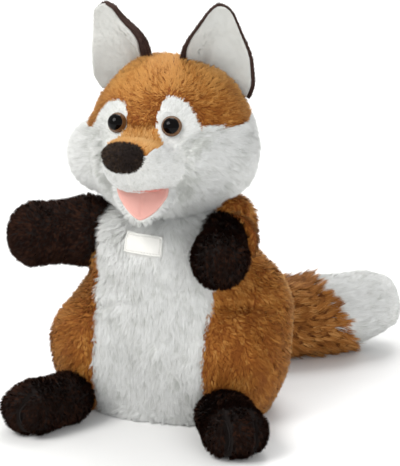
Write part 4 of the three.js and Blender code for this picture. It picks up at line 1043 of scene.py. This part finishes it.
def cap_form(side):
    """A shoulder's round cap. The left one, inside a thinner sleeve, is cut off flat on the sleeve's side."""
    centre = SHOULDER * [side, 1, 1] + (np.array(LEFT_CAP_OFF) if side > 0 else 0)
    crease = waves(70 + side, 16)

    def form(p):
        d = ball(p, centre, CAP_RADIUS[side]) + 0.6 * crease(p)
        return smooth_max(d, (p - centre) @ arm_axis(side) - 0.5, 4) if side > 0 else d

    return form


def show_arms():
    for side, name in SIDES:
        centre = SHOULDER * [side, 1, 1]
        axis = arm_axis(side)
        ends = np.stack([centre, centre + axis * ARM_TO_PAW])
        skin = mesh_of(arm_form(side), ends.min(0) - 21, ends.max(0) + 21, 1.4)
        show_skin(f"sleeve_{name}_skin", skin, DARK_SKIN, f"arm_{name}", "dark_plush",
                  (f"sleeve_{name}", f"paw_filling_{name}"))

        def sleeve_length(p):
            q = p - centre
            beside = q @ np.cross(axis, [0, 0, 1])
            seam = hump(beside, 1.5) * ease((q @ axis - 18) / 6) if side > 0 else 0
            return 3.0 - 2.2 * seam

        pile(f"sleeve_{name}_pile", skin, f"arm_{name}", DARK, 7.0, sleeve_length,
             towards(axis * 0.9 + DOWN * 0.55), 0.3, (26, 54), 1.5, 0.36, 0.6, 61 + side, blotch=0.04)
        cap = mesh_of(cap_form(side), centre - 22, centre + 22, 1.5)
        show_skin(f"shoulder_cap_{name}_skin", cap, BROWN_SKIN, f"shoulder_{name}", "brown_plush",
                  (f"shoulder_cap_{name}",))
        shown = part_of(cap, (middles(cap) - centre) @ axis < 12)
        pile(f"shoulder_cap_{name}_pile", shown, f"shoulder_{name}", BROWN, 5.5, 3.4 if side > 0 else 2.2,
             towards(axis * 0.6 + DOWN * 0.8), 0.32, (28, 60), 2.4, 0.36, 0.3, 65 + side)


FOOT_MIDDLE = 14.2  # height of a foot's middle line
FOOT_TO_TOES = 27
TOES = (-5.4, 5.0)  # places of the two grooves across the toes


def foot_frame(side):
    splay = math.radians(FOOT_SPLAY)
    axis = np.array([side * math.sin(splay), -math.cos(splay), 0])
    return FOOT * [side, 1, 1] + [1.5, -4.0, 0], axis, np.cross(axis, [0, 0, 1])


def foot_form(side):
    centre, axis, across = foot_frame(side)
    crease = waves(80 + side, 24)

    def form(p):
        q = p - centre
        t, u, h = q @ axis, q @ across / 1.2, p[:, 2] - FOOT_MIDDLE
        width = between(t, [-6, 0, 10, 20, FOOT_TO_TOES], [12.4, 12.6, 13.2, 13.8, 13.6])
        tube = np.maximum(smooth_max(np.hypot(u, h) - width, -t, 2), t - FOOT_TO_TOES)
        toe = np.stack([t - FOOT_TO_TOES, u, h + 0.2], 1)
        d = smooth_min(tube, ellipsoid(toe, (0, 0, 0), (14.2, 13.8, 13.4)), 3)
        d = smooth_min(d, ellipsoid(np.stack([t, u, h], 1), (0, 0, 0), (12.6, 12.6, 12.6)), 3)
        for place in TOES:
            line = q @ across - place * (1 + 0.012 * t)
            d = d + 3.2 * hump(line, 1.9) * ease((t - 24) / 8) * ease((h + 12) / 6)
        d = smooth_max(d, 0.5 - p[:, 2], 2)
        return d + 0.5 * crease(p)

    return form


def show_thread(name, path, radius, finish, body, slot):
    """A round thread along a path."""
    sides = 8
    along = unit(np.gradient(path, axis=0))
    first = unit(np.cross(along, [0.31, 0.2, 0.93]))
    second = np.cross(along, first)
    angle = np.arange(sides)[:, None] * 2 * math.pi / sides
    rings = path[:, None] + radius * (np.cos(angle) * first[:, None] + np.sin(angle) * second[:, None])
    last = (len(path) - 1) * sides
    ends = [np.arange(sides)[::-1][None], (last + np.arange(sides))[None]]
    made = build(name, rings.reshape(-1, 3), [ring_faces(len(path), sides)] + ends, [finish])
    settle(made, body, slot)


def show_feet():
    for side, name in SIDES:
        centre, axis, across = foot_frame(side)
        ends = np.stack([centre, centre + axis * FOOT_TO_TOES])
        low, high = ends.min(0) - 20, ends.max(0) + 20
        low[2], high[2] = -2, 32
        form = foot_form(side)
        skin = mesh_of(form, low, high, 1.3)
        show_skin(f"foot_{name}_skin", skin, DARK_SKIN, f"foot_{name}", "dark_plush", (f"foot_{name}",))

        def off_toes(p):
            t, u = (p - centre) @ axis, (p - centre) @ across
            near = np.min([np.abs(u - place * (1 + 0.012 * t)) for place in TOES], axis=0)
            return ~((near < 1.9) & (t > FOOT_TO_TOES))

        pile(f"foot_{name}_pile", skin, f"foot_{name}", DARK, 7.0, 2.8, towards(axis * 0.7 + DOWN * 0.5),
             0.3, (28, 56), 1.5, 0.32, 0.6, 81 + side, keep=off_toes, blotch=0.04)
        for number, place in enumerate(TOES, 1):
            angles = np.linspace(math.radians(-32), math.radians(62), 18)[:, None]
            path = centre + axis * (FOOT_TO_TOES + 13 * np.cos(angles)) + across * place * 1.45
            path[:, 2] += FOOT_MIDDLE - centre[2] + 13 * np.sin(angles[:, 0])
            for _ in range(4):
                slope = gradient(form, path)
                path = path - slope * (form(path) / np.maximum((slope**2).sum(1), 1e-6))[:, None]
            path = path + gradient(form, path) * 0.3
            show_thread(f"toe_stitch_{name}_{number}", path, 0.42, TOE_STITCH, f"foot_{name}", "dark_plush")


# The tail
def smooth_route(points, count):
    """Even steps along a centripetal curve through the points, and the curve's length."""
    def mix(x, low, high, a, b):
        return ((high - x) * a + (x - low) * b) / (high - low)

    points = np.asarray(points, float)
    ends = np.concatenate([[2 * points[0] - points[1]], points, [2 * points[-1] - points[-2]]])
    out = []
    for i in range(len(points) - 1):
        a, b, c, d = ends[i:i + 4]
        k = np.cumsum([0] + [np.linalg.norm(y - x) ** 0.5 for x, y in ((a, b), (b, c), (c, d))])
        for x in np.linspace(k[1], k[2], 40, endpoint=False):
            e, f, g = mix(x, k[0], k[1], a, b), mix(x, k[1], k[2], b, c), mix(x, k[2], k[3], c, d)
            out.append(mix(x, k[1], k[2], mix(x, k[0], k[2], e, f), mix(x, k[1], k[3], f, g)))
    out = np.array(out + [points[-1]])
    gone = np.concatenate([[0], np.cumsum(norm(np.diff(out, axis=0)))])
    at = np.linspace(0, gone[-1], count)
    return np.stack([np.interp(at, gone, out[:, i]) for i in range(3)], 1), gone[-1]


TAIL_PATH, TAIL_LENGTH = smooth_route(np.array(TAIL_ROUTE) + TAIL_ROOT, 90)
TAIL_WAY = unit(np.gradient(TAIL_PATH, axis=0))
TAIL_AT = [0, 0.1, 0.2, 0.45, 0.7, 0.82, 0.9, 0.95, 0.98, 1]
TAIL_THICK = [0.48, 0.58, 0.72, 0.87, 0.9, 0.87, 0.82, 0.76, 0.71, 0.67]
WHITE_FROM = 0.7
WHITE_SLANT = 0.004


def tail_place(p):
    """Share of the tail's length beside each point, distance from its middle line and direction there."""
    share, away, way = np.zeros(len(p)), np.zeros(len(p)), np.zeros((len(p), 3))
    at_once = 20000
    for start in range(0, len(p), at_once):
        here = slice(start, start + at_once)
        gap = p[here, None] - TAIL_PATH
        near = (gap**2).sum(2).argmin(1)
        gap, along = gap[np.arange(len(gap)), near], TAIL_WAY[near]
        step = np.clip((gap * along).sum(1), -1.2, 1.2)
        share[here] = near / (len(TAIL_PATH) - 1) + step / TAIL_LENGTH
        away[here] = norm(gap - along * step[:, None])
        way[here] = along
    return np.clip(share, 0, 1), away, way


tail_rumple = waves(91, 30)


def tail_form(p):
    share, away, _ = tail_place(p)
    past = np.maximum((p - TAIL_PATH[-1]) @ TAIL_WAY[-1], 0)
    away = np.sqrt(away**2 + 1.8 * past**2)
    d = away - TAIL_BUSHY * between(share, TAIL_AT, TAIL_THICK)
    return smooth_max(d + 0.8 * tail_rumple(p), 2.0 - p[:, 2], 2)


def show_tail():
    skin = mesh_of(tail_form, (-22, 40, 0), (116, 165, 56), 1.9)
    at = middles(skin)
    share = tail_place(at)[0]
    line = WHITE_FROM - WHITE_SLANT * (at[:, 2] - 26)
    brush, tip = part_of(skin, share <= line), part_of(skin, share > line)
    show_skin("tail_brush_skin", brush, TAIL_SKIN, "tail", "tail_plush", ("tail_brush",))
    show_skin("tail_tip_skin", tip, WHITE_SKIN, "tail", "white_plush", ("tail_tip",))

    def comb(p):
        return tail_place(p)[2] + DOWN * 0.12

    def brush_length(p):
        return np.interp(tail_place(p)[0], [0, 0.12, 0.3, 0.7], [6, 8, 11, 12])

    def tip_length(p):
        return np.interp(tail_place(p)[0], [0.5, 0.7, 0.9, 1], [9, 8, 5, 2.0])

    pile("tail_brush_pile", brush, "tail", TAIL, 5.5, brush_length, comb, 0.3, (56, 80), 2.2, 0.45, 0.26,
         92, rows=2)
    pile("tail_tip_pile", part_of(skin, share > line - 0.03), "tail", WHITE, 8.0, tip_length, comb, 0.3,
         (60, 82), 2.2, 0.2, 0.18, 93, soft=0.9, uneven=0.6)
    seat = mesh_of(lambda p: ball(p, TAIL_ROOT, 12.2), TAIL_ROOT - 15, TAIL_ROOT + 15, 1.4)
    show_skin("tail_seat_skin", seat, BROWN_SKIN, "tail_seat", "brown_plush", ("tail_seat",))
    pile("tail_seat_pile", seat, "tail_seat", BROWN, 5.0, 4.0, towards([0, 0.8, -0.5]), 0.32, (30, 62), 2.4,
         0.36, 0.3, 94)


# The label
LABEL_MIDDLE = np.array([-1.6, 0, 105.0])
LABEL_TILT = 4  # degrees, lower towards +X
LABEL_HALF = (10.0, 4.6)
LABEL_THICK = 0.8
LABEL_OFF = 2.9  # from the cloth, which leaves room for the pile


def show_label():
    tilt = math.radians(LABEL_TILT)
    right = np.array([math.cos(tilt), 0, -math.sin(tilt)])
    up = np.array([math.sin(tilt), 0, math.cos(tilt)])

    def lay(u, v, lift):
        flat = LABEL_MIDDLE + np.outer(u, right) + np.outer(v, up)
        guess = flat + np.array([0, -46, 0])
        for _ in range(8):
            guess[:, 1] += torso_outside(guess)
        slope = unit(gradient(torso_outside, guess))
        return guess + slope * np.asarray(lift)[:, None]

    half_u, half_v = LABEL_HALF

    def bow(u, v):
        """How far the label stands off the cloth at shares of its half width and height."""
        return 0.5 * (1 - u**2) + 0.15 * np.sin(u * 6) * np.cos(v * 3)

    nu, nv = 41, 23
    u, v = np.meshgrid(np.linspace(-1, 1, nu), np.linspace(-1, 1, nv), indexing="ij")
    u, v = u.ravel(), v.ravel()
    rim = 0.3 * np.clip(np.maximum(np.abs(u) ** 12, np.abs(v) ** 10), 0, 1)
    front = lay(u * half_u, v * half_v, LABEL_OFF + bow(u, v) - rim)
    back = lay(u * half_u, v * half_v, LABEL_OFF + bow(u, v) - LABEL_THICK + rim)
    i, j = np.meshgrid(np.arange(nu - 1), np.arange(nv - 1), indexing="ij")
    a = (i * nv + j).ravel()
    quads = np.stack([a, a + nv, a + nv + 1, a + 1], 1)
    n = nu * nv
    ring = np.concatenate([np.arange(nv - 1), (nv - 1) + np.arange(nu - 1) * nv, n - 1 - np.arange(nv - 1),
                           (nu - 1) * nv - np.arange(nu - 1) * nv])
    after = np.roll(ring, -1)
    sides = np.stack([ring, ring + n, after + n, after], 1)
    label = build("chest_label_cloth", np.concatenate([front, back]),
                  [quads[:, ::-1], quads + n, sides[:, ::-1]], [LABEL_CLOTH])
    settle(label, "torso", "label_cloth", ("chest_label",))
    corners = np.array([(-1, -1), (1, -1), (1, 1), (-1, 1), (-1, -1)]) * [half_u - 1.1, half_v - 1.1]
    border = np.concatenate([start + (end - start) * np.linspace(0, 1, steps, endpoint=False)[:, None]
                             for start, end, steps in zip(corners, corners[1:], (24, 13, 24, 13))])
    share = np.linspace(0, 1, 5)
    for number in range(len(border) // 2):
        start, end = border[2 * number:2 * number + 2]
        u, v = (start + (end - start) * share[:, None]).T
        lift = LABEL_OFF + 0.02 + bow(u / half_u, v / half_v) + 0.16 * np.sin(math.pi * share)
        show_thread(f"label_stitch_{number + 1}", lay(u, v, lift), 0.16, LABEL_STITCH, "torso",
                    "label_cloth")


show_torso()
show_hem()
show_tube()
show_head()
show_nose()
show_eyes()
show_mouth()
show_ears()
show_arms()
show_feet()
show_tail()
show_label()


# Floor, light and camera
FOCAL_PIXELS = 2280.7  # focal length in the photograph's pixels, fitted to it
PHOTO_HEIGHT = 466  # pixels
CAMERA_TURN_LIFT = (18, 16)  # degrees to the fox's left and above the level
CAMERA_TARGET = (14.74, 4.79, 100)
CAMERA_AWAY = 1.3  # metres


def studio():
    bpy.ops.mesh.primitive_plane_add(size=12, location=(0, 2, 0))
    floor = bpy.context.object
    floor.name = "floor"
    paper = material("floor_paper", "#F4F4F3", (0.6, 0.75), scale=40, bump=0.01, specular=0.2)
    floor.data.materials.append(paper)
    aim = Vector(world([0, 0, 100]))

    def softbox(name, place, size, power, colour, aim=aim):
        light = bpy.data.lights.new(name, "AREA")
        light.shape = "DISK"
        light.size = size
        light.energy = power
        light.color = colour
        lamp = bpy.data.objects.new(name, light)
        bpy.context.scene.collection.objects.link(lamp)
        lamp.location = place
        lamp.rotation_euler = (aim - Vector(place)).to_track_quat("-Z", "Y").to_euler()
        return lamp

    softbox("key", (-0.6, -0.9, 1.1), 0.8, 13, (1, 0.99, 0.97))
    fill = softbox("fill", (0.9, -1.15, 0.5), 0.9, 6.6, (0.97, 0.98, 1))
    fill.visible_glossy = False
    softbox("back", (-0.1, 0.7, 1.45), 0.9, 10, (1, 1, 1))
    softbox("far", (-0.4, 2.4, 1.6), 1.6, 30, (1, 1, 1), Vector((-0.6, 2.4, 0)))
    softbox("glint", (-0.2, -1.2, 1.15), 0.1, 0.7, (1, 1, 1))
    sky = bpy.data.worlds.new("studio")
    bpy.context.scene.world = sky
    sky.use_nodes = True
    light = sky.node_tree.nodes["Background"].inputs
    light["Color"].default_value = (1, 1, 1, 1)
    light["Strength"].default_value = 0.62
    bpy.context.scene.view_settings.view_transform = "Standard"
    lens = bpy.data.cameras.new("camera")
    lens.sensor_width = 36
    lens.lens = lens.sensor_width * FOCAL_PIXELS / PHOTO_HEIGHT
    camera = bpy.data.objects.new("camera", lens)
    bpy.context.scene.collection.objects.link(camera)
    turn, lift = (math.radians(angle) for angle in CAMERA_TURN_LIFT)
    back = np.array([math.sin(turn) * math.cos(lift), -math.cos(turn) * math.cos(lift), math.sin(lift)])
    target = world(CAMERA_TARGET)
    camera.location = Vector(target + back * CAMERA_AWAY)
    camera.rotation_euler = (Vector(target) - camera.location).to_track_quat("-Z", "Y").to_euler()
    bpy.context.scene.camera = camera


studio()
